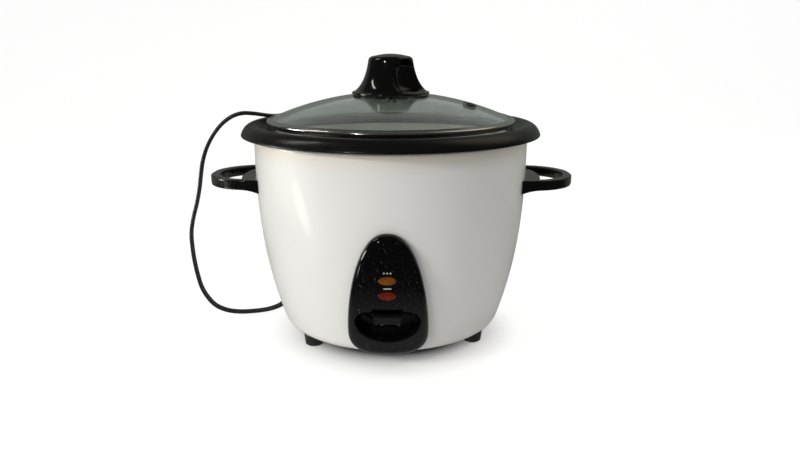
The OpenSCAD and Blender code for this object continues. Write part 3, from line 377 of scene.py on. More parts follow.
# name, place, aim, size, power in watts, colour, and whether reflections show it
LAMPS = (("key", (-1.1, -0.93, 0.7), (0, 0, 0.1), (0.3, 0.14), 8.9, (1.0, 0.98, 0.91), False),
         ("low_fill", (-0.8, -1.1, 0.12), (0, 0, 0.1), (0.5, 0.2), 2.8, (1.0, 0.99, 0.95), False),
         ("window", (-1.05, 0.0, 1.2), (0, 0, 0.15), (0.11, 0.65), 3.1, (1.0, 0.95, 0.84), True),
         ("low_window", (-1.3, -0.05, 0.17), (0, 0, 0.1), (0.34, 0.24), 5, (1.0, 0.98, 0.9), ONLY),
         ("front_left", (-0.55, -1.05, 0.45), (0, 0, 0.15), (0.07, 0.05), 1.2, (0.97, 0.98, 1.0), True),
         ("over_right", (0.7, -0.8, 1.3), (0, 0, 0.15), (0.3, 0.25), 1.5, (1.0, 0.95, 0.88), False),
         ("top", (-0.1, 0.3, 1.3), (0, 0, 0.1), (0.9, 0.7), 3.5, (1, 1, 1), False),
         ("right", (1.15, 0.45, 0.6), (0, 0, 0.1), (1.2, 0.6), 4, (1.0, 0.95, 0.84), False),
         ("rear", (-0.2, 1.5, 1.15), (0, 0, 0.15), (2.8, 1.3), 5, (1, 1, 1), False))
WORLD_COLOR, WORLD_STRENGTH = (1.0, 1.0, 0.99), 0.275
# In reflections the world is a dark room with a warm patch in this direction
PATCH_TOWARD = (0.62, 0.3, 0.72)
PATCH_RAMP = [(0.89, (0.05, 0.05, 0.048)), (0.96, (0.8, 0.73, 0.58))]


def make_lights():
    """The world and the lamps, each with its own look in reflections."""
    world = bpy.data.worlds.new("studio")
    world.use_nodes = True
    back = world.node_tree.nodes["Background"]
    back.inputs["Color"].default_value = (*WORLD_COLOR, 1)
    back.inputs["Strength"].default_value = WORLD_STRENGTH
    bpy.context.scene.world = world
    toward = node(world, "VectorMath", [(0, node(world, "TexCoord"), "Generated")], operation="DOT_PRODUCT")
    toward.inputs[1].default_value = Vector(PATCH_TOWARD).normalized()
    seen_as(world, "Is Glossy Ray", 1.0, ramp(world, toward, "Value", PATCH_RAMP))
    seen_as(world, "Is Transmission Ray", 1.0, GLASS_SEES)
    seen_as(world, "Is Camera Ray", 1.0, (1.0, 1.0, 1.0))
    for name, at, aim, size, power, color, reflected in LAMPS:
        data = bpy.data.lights.new(name, "AREA")
        data.shape = "RECTANGLE"
        data.size, data.size_y = size
        data.energy = power
        data.color = color
        lamp = linked(name, data)
        lamp.location = at
        lamp.visible_glossy = bool(reflected)
        lamp.visible_diffuse = reflected != ONLY
        lamp.rotation_euler = (Vector(aim) - Vector(at)).to_track_quat("-Z", "Y").to_euler()


bpy.context.scene.view_settings.view_transform = "Standard"
make_camera()
make_stage()
make_lights()

# ---------------- cord
CORD_W, CORD_T = 5.4, 2.9        # flat two-core cord: width and thickness
CORD_STEP = 1.3
ROUTE = [(-49.3, 92.75, 12.4), (-54, 101, 10), (-59, 107.5, 6.8), (-66, 112.5, 4.2), (-75, 113.5, 3),
         (-84, 110, 2.8), (-91, 102, 2.8), (-95, 91, 2.8), (-96, 79, 2.8), (-95, 67, 2.8),
         (-93.5, 55, 2.8), (-93.5, 44, 2.8), (-97, 34, 2.8), (-104.5, 26, 2.8), (-115, 21.5, 2.8),
         (-127, 19.5, 3), (-137, 18.5, 4.8), (-145.5, 18, 9), (-151.5, 17.5, 16), (-156, 17, 25),
         (-158.7, 17, 36), (-160.4, 16.5, 48), (-161.2, 16, 60), (-161, 15.5, 72), (-158.5, 15, 84),
         (-154.8, 14.5, 96), (-151.8, 14, 108), (-149.8, 13.5, 119), (-147.3, 12, 130),
         (-143.3, 10.5, 140.5), (-137.5, 9.5, 150.5), (-130.5, 9, 159), (-122.5, 8.8, 165),
         (-114.5, 10, 167.7), (-107, 12.5, 167.4), (-101, 16.5, 166.2), (-96, 22, 164.9),
         (-92.4, 29, 163.9), (-88.8, 37, 163.4), (-84, 46.4, 163.3), (-77.6, 56.3, 163.3),
         (-67.7, 67.7, 163.3), (-57.6, 76.5, 163.5), (-48.8, 84, 164.6), (-40.6, 91.4, 165.8),
         (-33, 98.2, 165.9), (-26.5, 104.4, 164.1), (-21.6, 110, 159.4), (-18.6, 113.8, 151.5),
         (-16.8, 116, 143), (-15.5, 117.2, 132.5), (-14.5, 117.5, 121), (-13.5, 117.5, 107),
         (-12.5, 118, 93), (-12, 118.5, 79), (-11.5, 119, 65), (-11, 119.5, 51), (-10.5, 120.5, 38),
         (-8.5, 122.5, 26), (-4.5, 126, 15.5), (2, 131.5, 8.4), (9.5, 137.5, 4.0)]
COIL_AT = np.array([42.0, 126.0])
COIL_FROM, COIL_TURNS = 146.0, 2.4056       # start angle in degrees, and turns to the plug's side
COIL_R, COIL_Z = 30.1, 2.5
NARROWED, NARROW_TURNS = 5.7, (0.72, 1.0)   # the second turn lies inside the first
RAISED, WIDENED, RAISE_TURNS = 3.0, 2.6, (1.75, 2.05)       # the rest lies on top of both
PLUG_AT = (69.0, 108.0, 6.5)
TO_PLUG = [(69, 119, 6.3), (69, 113, 6.5), PLUG_AT]


def ease(value, start, end):
    """0 before start, 1 after end, and smooth between them."""
    share = np.clip((value - start) / (end - start), 0, 1)
    return share ** 2 * (3 - 2 * share)


def coil_points():
    """Turns of the wound rest: two side by side, then on top, to the plug's relief."""
    points = []
    for turned in np.linspace(0, 1, int(COIL_TURNS * 30)) * COIL_TURNS:
        on_top = ease(turned, *RAISE_TURNS)
        radius = COIL_R - NARROWED * ease(turned, *NARROW_TURNS) + WIDENED * on_top
        angle = math.radians(COIL_FROM) - 2 * math.pi * turned
        points.append((*(COIL_AT + radius * np.array([math.cos(angle), math.sin(angle)])),
                       COIL_Z + 0.1 * turned + RAISED * on_top))
    return points


def flat_cord_outline():
    """Two round cores side by side with a groove between them: (across, through)."""
    side, r = CORD_W / 2 - CORD_T / 2, CORD_T / 2
    right = [(side + x, z) for x, z in arc((0, 0), r, -118, 118, 14)]
    return right + [(-x, -z) for x, z in right]


def level_across(tangent, before=None):
    """Level direction square to a line."""
    level = np.cross((0, 0, 1), tangent)
    return level / np.linalg.norm(level)


def cord_across(tangent, before):
    """Wide direction of the flat cord: it turns little by little to lie level where the line does."""
    if before is None:
        return level_across(tangent)
    level = np.cross((0, 0, 1), tangent)
    if level @ before < 0:
        level = -level
    pull = 0.12 * np.clip(1.6 * (1 - abs(tangent[2])) - 0.3, 0, 1)
    across = before * (1 - pull) + level * pull
    across -= (across @ tangent) * tangent
    return across / np.linalg.norm(across)


def make_cord():
    """The flat cord's piece, its middle line and its finish."""
    rubber = plain("cord_pvc", (0.012, 0.012, 0.013), 0.42, scale=140, amount=0.25, rough_by=0.06,
                   grain=0.00004, grain_scale=2600, Coat_Weight=0.15, Coat_Roughness=0.3)
    line = smooth_line(ROUTE + coil_points()[2:-3] + TO_PLUG, CORD_STEP)
    flex = add("cord_flex", *sweep(line, flat_cord_outline(), cord_across), None, rubber, "cord_pvc", 50,
               ["power_cord", "cord_coil"])
    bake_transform(flex)
    return flex, line, rubber


cord_flex, cord_line, cord_rubber = make_cord()

# ---------------- sizes shared with the CAD model
BASE_Z = low("outer_shell")[2]
SHELL_H = 143.2
SHELL_TOP = BASE_Z + SHELL_H
SHELL_R, SHELL_DRAW, SHELL_POWER = 101.6, 20.8, 2.6      # at the top, drawn in below by a power
SHELL_BEND, SHELL_WALL, SHELL_EDGE_R = 11.0, 0.8, 1.2
PANEL_LOW, PANEL_HIGH = low("control_panel")[2], high("control_panel")[2]
PANEL_HALF = high("control_panel")[0]
PANEL_MID = PANEL_LOW + 0.22 * (PANEL_HIGH - PANEL_LOW)      # where the panel is widest
PANEL_PROUD, PANEL_PROUD_LESS = 9.0, 2.5      # how far it stands out at its foot, and less at its top
PANEL_WALL, PANEL_EDGE = 2.2, 5.0
RECESS_Z, RECESS_W, RECESS_DEEP = PANEL_LOW + 27.7, 44.4, 11.0
RECESS_RISE, RECESS_FALL = 9.8, 15.2
COOK_Z = (low("cook_lens")[2] + high("cook_lens")[2]) / 2
WARM_Z = (low("warm_lens")[2] + high("warm_lens")[2]) / 2
LENS_W, LENS_H, LENS_PLAY = 12.0, 6.2, 0.3
CREST_Z = high("inner_pot")[2]
RIM_R = high("inner_pot")[0]
LEDGE_Z = CREST_Z - 3.1      # where the lid rests
LID_R = high("lid_rim")[0]
LID_REST, RIM_SHEET, RIM_GAP = 0.3, 0.6, 0.15
DOME_R, GLASS_T = 222.0, 3.5
KNOB_LOW, KNOB_TOP = low("knob")[2], high("knob")[2]
KNOB_R, KNOB_TOP_R = high("knob")[0], 16.6


def shell_r(z):
    """Outer radius of the shell at height z, above its base bend."""
    return SHELL_R - SHELL_DRAW * (max(0.0, SHELL_TOP - z) / SHELL_H) ** SHELL_POWER


def shell_side(off):
    """Outer side of the shell from its top edge to its flat base, moved out by off."""
    slope = SHELL_DRAW * SHELL_POWER / SHELL_H
    tilt = math.atan(slope * ((SHELL_H - 0.7 * SHELL_BEND) / SHELL_H) ** (SHELL_POWER - 1))
    bend_z = BASE_Z + SHELL_BEND * (1 - math.sin(tilt))
    centre = (shell_r(bend_z) - SHELL_BEND * math.cos(tilt), BASE_Z + SHELL_BEND)
    side = [(shell_r(z) + off, z) for z in np.linspace(SHELL_TOP, bend_z, 40)]
    return side + arc(centre, SHELL_BEND + off, -math.degrees(tilt), -90, 10)[1:]


def proud(z):
    """How far the panel stands out from the shell."""
    return PANEL_PROUD - PANEL_PROUD_LESS * (z - PANEL_LOW) / (PANEL_HIGH - PANEL_LOW)


def on_shell(x, z, out):
    """Point on the shell's front at that x and z, moved out."""
    return (x, -math.sqrt((shell_r(z) + out) ** 2 - x * x), z)


def dome_z(r):
    """Height of the glass's outer face at radius r."""
    edge = LEDGE_Z + LID_REST + RIM_SHEET + RIM_GAP + GLASS_T
    top = edge + DOME_R - math.sqrt(DOME_R ** 2 - LID_R ** 2)
    return top - DOME_R + math.sqrt(DOME_R ** 2 - r * r)


def boolean(piece, cutters, operation="DIFFERENCE"):
    """Cuts (or joins) closed meshes and deletes them."""
    for cutter in cutters:
        step = piece.modifiers.new("cut", "BOOLEAN")
        step.operation, step.solver, step.object = operation, "EXACT", cutter
    apply_modifiers(piece)
    for cutter in cutters:
        bpy.data.objects.remove(cutter)


def apply_modifiers(piece):
    """Makes a piece's modifiers part of its mesh."""
    evaluated = piece.evaluated_get(bpy.context.evaluated_depsgraph_get())
    made = bpy.data.meshes.new_from_object(evaluated)
    piece.modifiers.clear()
    piece.data = made


def block(low_corner, high_corner):
    """Box between two corners, to cut with."""
    verts = [(x, y, z) for z in (low_corner[2], high_corner[2]) for y in (low_corner[1], high_corner[1])
             for x in (low_corner[0], high_corner[0])]
    faces = [(0, 1, 3, 2), (4, 5, 7, 6), (0, 1, 5, 4), (2, 3, 7, 6), (0, 2, 6, 4), (1, 3, 7, 5)]
    return loose("block", verts, faces)


# ---------------- finishes
ENAMEL, ENAMEL_UNDER_RIM_SHADE = (0.81, 0.81, 0.80), (0.80, 0.765, 0.69)
SHADE_BAND_FROM, SHADE_BAND_FULL = 13, 5      # below the shell's top edge, where the painted shade band under the pot's rim begins and where it is full
GLOSS_BLACK, DUST = (0.0016, 0.0018, 0.0018), (0.10, 0.10, 0.095)
PANEL_BLACK = (0.0018, 0.0019, 0.0021)
HANDLE_BLACK, HANDLE_DUST = (0.0022, 0.0024, 0.0026), (0.12, 0.12, 0.12)
POT_BLACK, POT_GREY_WITH_PAINTED_LIGHT = (0.0035, 0.004, 0.004), (0.74, 0.75, 0.72)
POT_INSIDE_R, FACES_OUT = 0.0895, 0.001      # metres


def enamel():
    """White enamel, with a warm band of painted shade close under the pot's rim."""
    made = material("white_enamel", ENAMEL, 0.42, Coat_Weight=0.4, Coat_Roughness=0.05,
                    Specular_IOR_Level=0.8)
    clouds = noise(made, 25, 3.0)
    shade = ramp(made, clouds, "Fac", [(0.3, tuple(c * 0.985 for c in ENAMEL)), (0.7, ENAMEL)])
    height = node(made, "SeparateXYZ", [("Vector", place(made), "Object")])
    near = node(made, "MapRange", [("Value", height, "Z")])
    near.inputs["From Min"].default_value = (SHELL_TOP - SHADE_BAND_FROM) * MM
    near.inputs["From Max"].default_value = (SHELL_TOP - SHADE_BAND_FULL) * MM
    # painted shade: the enamel turns warmer and darker close under the pot's rim, where the rim shades it
    wire(made, mix(made, near, "Result", (shade, "Color"), ENAMEL_UNDER_RIM_SHADE), RESULT, "Base Color")
    wire(made, ramp(made, clouds, "Fac", [(0.3, 0.38), (0.7, 0.46)]), "Color", "Roughness")
    bump(made, noise(made, 260, 1.0), "Fac", 0.00002, 0.35)
    return made


def gloss_black(name, color, rough, speck_scale=None):
    """Glossy black; with a speck_scale it has small pale grains where a noise of that scale peaks."""
    made = material(name, color, rough, Specular_IOR_Level=0.3, Coat_Weight=0.4, Coat_Roughness=0.04)
    if speck_scale:
        dust = ramp(made, noise(made, speck_scale, 1.0), "Fac", [(0.72, 0.0), (0.76, 1.0)])
        wire(made, mix(made, dust, "Color", color, DUST), RESULT, "Base Color")
        wire(made, ramp(made, dust, "Color", [(0.0, rough), (1.0, 0.7)]), "Color", "Roughness")
    bump(made, noise(made, 320), "Fac", 0.00002, 0.4)
    return made


def pot_finish():
    """Black outside and rim, and a grey non-stick inside that is made paler as painted light reflected in
    the pot.
    """
    made = material("pot_coating", POT_BLACK, 0.3, Coat_Weight=0.08, Coat_Roughness=0.12,
                    Specular_IOR_Level=0.28)
    at = node(made, "SeparateXYZ", [("Vector", place(made), "Object")])
    normal = node(made, "SeparateXYZ", [("Vector", node(made, "NewGeometry"), "Normal")])

    def level_dot(first, second):
        """Product of two vectors without their Z."""
        parts = [math_node(made, "MULTIPLY", (first, axis), (second, axis)) for axis in "XY"]
        return math_node(made, "ADD", (parts[0], 0), (parts[1], 0))

    radius = math_node(made, "SQRT", (level_dot(at, at), 0))
    near = math_node(made, "LESS_THAN", (radius, 0), POT_INSIDE_R)
    faces_in = math_node(made, "LESS_THAN", (level_dot(at, normal), 0), FACES_OUT)
    below = math_node(made, "LESS_THAN", (at, "Z"), (LEDGE_Z - 5) * MM)
    inside = math_node(made, "MULTIPLY", (near, 0), (faces_in, 0))
    lower = math_node(made, "MULTIPLY", (inside, 0), (below, 0))
    # partly painted light: the inside's grey is the coating's own, made paler to stand in for light
    # reflected inside the pot
    wire(made, mix(made, lower, 0, POT_BLACK, POT_GREY_WITH_PAINTED_LIGHT), RESULT, "Base Color")
    wire(made, ramp(made, noise(made, 160, 3.0), "Fac", [(0.3, 0.27), (0.75, 0.36)]), "Color", "Roughness")
    bump(made, noise(made, 900), "Fac", 0.000006, 0.4)
    return made


def glass():
    """Clear glass with faint smears."""
    made = material("lid_glass", (0.90, 0.95, 0.92), 0.0, Transmission_Weight=1.0, IOR=1.5)
    smear = noise(made, 18, 3.0)
    wire(made, ramp(made, smear, "Fac", [(0.4, 0.0), (0.8, 0.06)]), "Color", "Roughness")
    return made


def steel(name, color, rough, scale=40):
    """Bare metal with a fine grain."""
    return plain(name, color, rough, 1.0, scale=scale, amount=0.08, rough_by=0.06, grain=0.00001,
                 grain_scale=1500)


# ---------------- body
def make_shell():
    """Shell with its top edge turned in, a hole in its base, and windows behind the front panel."""
    wall, edge_r, under_top = SHELL_WALL, SHELL_EDGE_R, SHELL_TOP - SHELL_WALL
    turned_in_r, base_hole_r = SHELL_R - 5, 61
    inner = [p for p in shell_side(-wall) if p[1] < under_top]
    edge = arc((SHELL_R - edge_r, SHELL_TOP - edge_r), edge_r, 90, 0, 5)
    profile = ([(turned_in_r, under_top), (turned_in_r, SHELL_TOP)] + edge
               + [p for p in shell_side(0) if p[1] < SHELL_TOP - edge_r]
               + [(base_hole_r, BASE_Z), (base_hole_r, BASE_Z + wall)] + inner[::-1]
               + [(shell_r(under_top) - wall, under_top)])
    piece = loose("body_shell", *revolve(profile))
    half, top, behind, lamps_half = RECESS_W / 2 + 2.1, RECESS_Z + RECESS_RISE + 2.2, -50, 10
    boolean(piece, [block((-half, -SHELL_R, RECESS_Z - RECESS_FALL - 1.2), (half, behind, top)),
                    block((-lamps_half, -SHELL_R, top - 1), (lamps_half, behind, WARM_Z + 7))])
    dress(piece, "housing", enamel(), 30, ["outer_shell"])


def make_pot():
    """Pot with its wide rim turned down over the shell's top edge."""
    wall, bend, side = 1.5, 16.0, 89.5
    bottom = low("inner_pot")[2]
    skirt_w, skirt_h, turn = 8.5, 7.7, math.radians(70)
    crest_r = RIM_R - skirt_w
    wide, deep = skirt_w / math.sin(turn), skirt_h / (1 - math.cos(turn))
    centre = (side - 1 - bend, bottom + bend)
    inner = [(0.01, bottom + wall)] + arc(centre, bend - wall, -90, 0, 14)
    lip = [(side - wall + 2 - 2 * math.cos(t), LEDGE_Z - 2 + 2 * math.sin(t))
           for t in np.linspace(0, math.pi / 2, 6)]
    rise = bezier([(LID_R + 1.5, LEDGE_Z), (LID_R + 4.5, LEDGE_Z), (crest_r - 4.5, CREST_Z),
                   (crest_r, CREST_Z)], 16)

    def skirt(a, off):
        """Point of the rim's skirt at a turn of a from its crest, in from its outer face by off."""
        out = Vector((deep * math.sin(a), wide * math.cos(a))).normalized()
        return (crest_r + wide * math.sin(a) - off * out[0],
                CREST_Z - deep * (1 - math.cos(a)) - off * out[1])

    roll = [skirt(a, 0) for a in np.linspace(0.06, turn, 20)]
    hem = [skirt(turn, 0), skirt(turn, wall)]
    middle, along = (Vector(hem[0]) + Vector(hem[1])) / 2, (Vector(hem[1]) - Vector(hem[0])) / 2
    down = Vector((along[1], -along[0]))
    if down[1] > 0:
        down = -down
    foot = [tuple(middle - along * math.cos(t) + down * 0.8 * math.sin(t))
            for t in np.linspace(0, math.pi, 8)[1:-1]]
    roll_in = [skirt(a, wall) for a in np.linspace(turn, 0, 14)]
    fall = bezier([(crest_r, CREST_Z - wall), (crest_r - 4.5, CREST_Z - wall),
                   (LID_R + 4.9, LEDGE_Z - wall), (LID_R + 2.1, LEDGE_Z - wall)], 16)[1:]
    outer = ([(side + 1.6, LEDGE_Z - wall), (side, LEDGE_Z - wall - 1.6)]
             + arc(centre, bend, 0, -90, 14) + [(0.01, bottom)])
    profile = inner + lip + rise + roll + foot + roll_in + fall + outer
    add("pot_body", *revolve(profile), "pot", pot_finish(), "pot_coating", 40, ["inner_pot"])


def make_glass():
    """Glass dome with a hole for the knob's screw and one for the vent, square to the glass."""
    screw_r, glass_r, vent_r, vent_hole_r, vent_at = 3.0, LID_R - 3.3, 60, 3.4, math.radians(-16)
    radii = np.linspace(screw_r, glass_r, 40)
    profile = [(r, dome_z(r)) for r in radii] + [(r, dome_z(r) - GLASS_T) for r in radii[::-1]]
    piece = loose("lid_dome", *revolve(profile))
    lean = math.asin(vent_r / DOME_R)
    axis = np.array([math.sin(lean) * math.cos(vent_at), math.sin(lean) * math.sin(vent_at), math.cos(lean)])
    centre = np.array([0, 0, dome_z(0) - DOME_R]) + axis * DOME_R
    side = np.cross(axis, (0, 0, 1))
    side /= np.linalg.norm(side)
    other = np.cross(axis, side)
    around = 32
    hole = [centre + along * axis + vent_hole_r * (math.cos(t) * side + math.sin(t) * other)
            for along in (-8, 5) for t in full_turn(around)]
    boolean(piece, [loose("vent_hole", hole, capped(2, around))])
    dress(piece, "lid", glass(), 30, ["lid_glass"])


def make_rim():
    """Rolled steel rim: a bead on the glass's edge, and a strip that turns in below it."""
    sheet, gap, roll, neck_r = RIM_SHEET, RIM_GAP, 1.35, LID_R - 1.5
    lip = LID_R - 3.6
    over = [(r, dome_z(r) + gap + sheet) for r in np.linspace(lip, LID_R - roll, 6)]
    bead = arc((LID_R - roll, over[-1][1] - roll), roll, 90, -75, 14)[1:]
    under = [(r, dome_z(r) - GLASS_T - gap - sheet) for r in np.linspace(neck_r - 1, lip, 6)]
    bead_z, under_z = bead[-1][1], under[0][1]
    bend = [(neck_r, bead_z - 0.4), (neck_r, under_z + 0.8), (neck_r - 0.25, under_z + 0.2)]
    inside = ([(r, dome_z(r) - GLASS_T - gap) for r in np.linspace(lip, neck_r - sheet, 6)]
              + [(neck_r - sheet, bead_z)]
              + [(r, dome_z(r) + gap) for r in np.linspace(neck_r - sheet, lip, 6)])
    rim = steel("rim_stainless", (0.66, 0.65, 0.62), 0.16, scale=30)
    add("lid_bead", *revolve(over + bead + bend + under + inside), "lid", rim, "rim_stainless", 30,
        ["lid_rim"])


KNOB_H = KNOB_TOP - KNOB_LOW
KNOB_ROUND, KNOB_SHOULDER, KNOB_PLATE = 3.6, KNOB_H - 5.4, 2.4
SCOOPS_AT = (-41, 139)                   # degrees
SCOOP_R, SCOOP_DEEP, SCOOP_SOFT = 18.0, 8.0, 0.9
SCOOP_FLOOR, SCOOP_ARCH, SCOOP_RISE, SCOOP_START = 4.2, KNOB_H * 0.62, KNOB_H * 0.34, 1.5
SCOOP_REACH = KNOB_TOP_R + SCOOP_R - SCOOP_DEEP      # from the knob's axis to the scoop's


def scooped(r, a, z):
    """Radius that a round scoop leaves of r, at angle a from it and height z, with softened edges."""
    if z < SCOOP_FLOOR - SCOOP_START or z > SCOOP_ARCH + SCOOP_RISE:
        return r
    if z > SCOOP_ARCH:
        size = SCOOP_R * math.sqrt(max(0.0, 1 - ((z - SCOOP_ARCH) / SCOOP_RISE) ** 2))
    else:
        share = np.clip((z - SCOOP_FLOOR) / (SCOOP_ARCH - SCOOP_FLOOR), 0, 1)
        size = SCOOP_R * (0.84 + 0.16 * (1 - (1 - share) ** 2.4))
        size *= np.clip((z - SCOOP_FLOOR + SCOOP_START) / SCOOP_START, 0, 1)
    inside = size ** 2 - (SCOOP_REACH * math.sin(a)) ** 2
    if math.cos(a) <= 0 or inside <= 0:
        return r
    cut = SCOOP_REACH * math.cos(a) - math.sqrt(inside)
    gap = cut - r
    if gap > SCOOP_SOFT:
        return r
    if gap < -SCOOP_SOFT:
        return cut
    return min(r, cut) - (SCOOP_SOFT - abs(gap)) ** 2 / (4 * SCOOP_SOFT)


def make_knob():
    """Round knob with a flared foot, two finger scoops and a hollow under it."""
    crown_r = KNOB_TOP_R - KNOB_ROUND
    side = (bezier([(KNOB_R - 1.6, 2.2), (KNOB_R - 8, 7), (KNOB_TOP_R + 1.6, KNOB_H * 0.5),
                    (KNOB_TOP_R, KNOB_SHOULDER)], 40)
            + arc((crown_r, KNOB_SHOULDER), KNOB_ROUND, 0, 80, 10)[1:])
    crown = [(r, KNOB_H - 1.8 * (r / crown_r) ** 2) for r in np.linspace(crown_r, 0.02, 10)][1:]
    foot = [(KNOB_R - 1.4, 0), (KNOB_R - 0.5, 0.12), (KNOB_R, 0.6), (KNOB_R, 1.6), (KNOB_R - 0.3, 2.05),
            (KNOB_R - 0.9, 2.2)]
    hollow = [(0.02, 5), (KNOB_R - 9, 3.4), (KNOB_R - 4, 0.9)]
    profile = hollow + foot + side + crown
    around = 240
    verts = []
    for r, z in profile:
        for k in range(around):
            a = 2 * math.pi * k / around
            here = r
            if z > KNOB_PLATE and (r, z) not in hollow:
                for at in SCOOPS_AT:
                    here = scooped(here, a - math.radians(at), z)
            verts.append((here * math.cos(a), here * math.sin(a), KNOB_LOW + z))
    add("lid_knob", verts, capped(len(profile), around), "lid", gloss_black("knob_black", GLOSS_BLACK, 0.12),
        "knob_plastic", 60, ["knob"])


# ---------------- front panel
# exponents of the outline's cosine and sine, above the widest place and below it
EGG_ABOVE, EGG_BELOW = (0.85, 1.15), (0.6, 0.72)
PANEL_BACK = 0.3       # from the shell to the panel's rim


def egg(a, inset):
    """Egg-shaped outline of the panel at angle a, as (x, z), pulled in by inset."""
    c, s = math.cos(a), math.sin(a)
    across, along = EGG_ABOVE if s > 0 else EGG_BELOW
    reach = PANEL_HIGH - PANEL_MID if s > 0 else PANEL_LOW - PANEL_MID
    return ((PANEL_HALF - inset) * math.copysign(abs(c) ** across, c),
            PANEL_MID + math.copysign(abs(reach) - inset, reach) * abs(s) ** along)


def panel_skin(inset, back, less, around):
    """Closed egg-shaped form on the shell, from back out to less than the panel's front, with its edge
    rounded."""
    # even spacing along the outline, which has tight bends
    fine = full_turn(3600)
    outline = np.array([egg(a, 0) for a in fine])
    run = np.r_[0, np.cumsum(np.linalg.norm(np.diff(np.vstack([outline, outline[:1]]), axis=0), axis=1))]
    turns = np.interp(np.linspace(0, run[-1], around, endpoint=False), run, np.r_[fine, 2 * math.pi])
    bends, shares = np.linspace(0, math.pi / 2, 12), np.linspace(1, 0.02, 26)[1:]
    verts = [on_shell(*egg(a, inset), back) for a in turns]
    for t in bends:
        for a in turns:
            x, z = egg(a, inset + PANEL_EDGE * (1 - math.cos(t)))
            out = proud(z) - less - PANEL_EDGE * (1 - math.sin(t))
            verts.append(on_shell(x, z, max(back + 0.1, out)))
    heart = PANEL_MID + 10
    inner = [egg(a, inset + PANEL_EDGE) for a in turns]
    for share in shares:
        for x, z in inner:
            z = heart + (z - heart) * share
            verts.append(on_shell(x * share, z, proud(z) - less))
    rings = 1 + len(bends) + len(shares)
    faces = ring_faces(rings, around)
    verts += [on_shell(0, heart, proud(heart) - less), on_shell(0, PANEL_MID, back)]
    last = (rings - 1) * around
    faces += [(last + i, last + (i + 1) % around, len(verts) - 2) for i in range(around)]
    faces += [((i + 1) % around, i, len(verts) - 1) for i in range(around)]
    return verts, faces


# share of the recess's depth, then the shares of its half width, rise and fall that are left there, and
# the exponent that bows its top
STEPS = np.array([(0, 1, 1, 1, 1), (0.15, 0.985, 0.8, 0.99, 0.78), (0.3, 0.965, 0.62, 0.965, 0.56),
                  (0.45, 0.94, 0.46, 0.92, 0.4), (0.75, 0.9, 0.42, 0.8, 0.4),
                  (0.93, 0.82, 0.36, 0.62, 0.45), (1, 0.7, 0.28, 0.45, 0.5)], float)
RECESS_LIP = 0.9


def recess_skin(wall, start, around=140):
    """The recess as a closed form, grown by wall, from start behind its front; its top is an arch that
    flattens to a ledge."""
    depths = [d for d in np.concatenate([np.linspace(0, 0.5, 14), np.linspace(0.55, 1, 14)])
              if d * RECESS_DEEP > start]
    rows = [(start, max(0, start / RECESS_DEEP))] + [(d * (RECESS_DEEP + wall), d) for d in depths]
    front = proud(RECESS_Z)
    verts = []
    for depth, share in rows:
        half, top, bottom, bow = (np.interp(share, STEPS[:, 0], column) for column in STEPS.T[1:])
        before_lip = 1 - np.clip(depth / RECESS_LIP, 0, 1)
        lip = RECESS_LIP * (1 - math.sqrt(max(0.0, 1 - before_lip ** 2))) if wall == 0 else 0
        for a in full_turn(around):
            s = math.sin(a)
            x = (RECESS_W / 2 * half + wall + lip) * math.cos(a)
            if s > 0:
                z = RECESS_Z + (RECESS_RISE * top + wall + lip * 0.3) * s ** bow
            else:
                z = RECESS_Z + (RECESS_FALL * bottom + wall + lip) * s
            verts.append(on_shell(x, z, front - depth))
    return verts, capped(len(rows), around)


def lens_hole(z):
    """Oval rod along Y, to cut a lens's hole."""
    around, half_w, half_h = 64, (LENS_W + LENS_PLAY) / 2, (LENS_H + LENS_PLAY) / 2
    verts = [(half_w * math.cos(a), y, z + half_h * math.sin(a)) for y in (-80, -125)
             for a in full_turn(around)]
    return loose("hole", verts, capped(2, around))


def paint_recess_shade(made):
    """Painted shade: takes the shine from what lies more than a little behind the panel's front, which is
    taken as straight between two heights."""
    low_z, high_z = RECESS_Z - 12, RECESS_Z + 8
    low_front, high_front = (shell_r(z) + proud(z) for z in (low_z, high_z))
    lean = (high_front - low_front) / (high_z - low_z)
    at = node(made, "SeparateXYZ", [("Vector", place(made), "Object")])
    front = math_node(made, "MULTIPLY_ADD", (at, "Z"), lean)
    front.inputs[2].default_value = (low_front - lean * low_z) * MM
    radius = length(made, mapped(made, (1, 1, 0)), "Vector")
    depth = math_node(made, "SUBTRACT", (front, 0), (radius, "Value"))
    wire(made, ramp(made, depth, 0, [(0.0015, 0.5), (0.004, 0.06)]), "Color", "Specular IOR Level")


def make_panel():
    """Front panel: a hollow egg-shaped cap with a bowl for the lever, its slot, and the lens holes."""
    front = -(shell_r(RECESS_Z) + proud(RECESS_Z))
    back = front + RECESS_DEEP + 4
    slot_half, slot_low, slot_high = 8, RECESS_Z - 8.4, RECESS_Z + 2.5
    notch_half, notch_low, notch_high = 10.4, RECESS_Z + 2, RECESS_Z + RECESS_RISE
    piece = loose("panel_front", *panel_skin(0, PANEL_BACK, 0, 300))
    boolean(piece, [loose("inside", *panel_skin(PANEL_WALL, -4, PANEL_WALL, 200))])
    boolean(piece, [loose("bowl", *recess_skin(1.6, 0.8))], "UNION")
    boolean(piece, [block((-slot_half, front + 2.5, slot_low), (slot_half, back + 4, slot_high))])
    boolean(piece, [block((-notch_half, front - 4, notch_low), (notch_half, back + 0.3, notch_high))])
    boolean(piece, [loose("recess", *recess_skin(0, -3))])
    for z in (COOK_Z, WARM_Z):
        boolean(piece, [lens_hole(z)])
    finish = gloss_black("panel_black", PANEL_BLACK, 0.1, 1200)
    paint_recess_shade(finish)
    dress(piece, "housing", finish, 32, ["control_panel"])


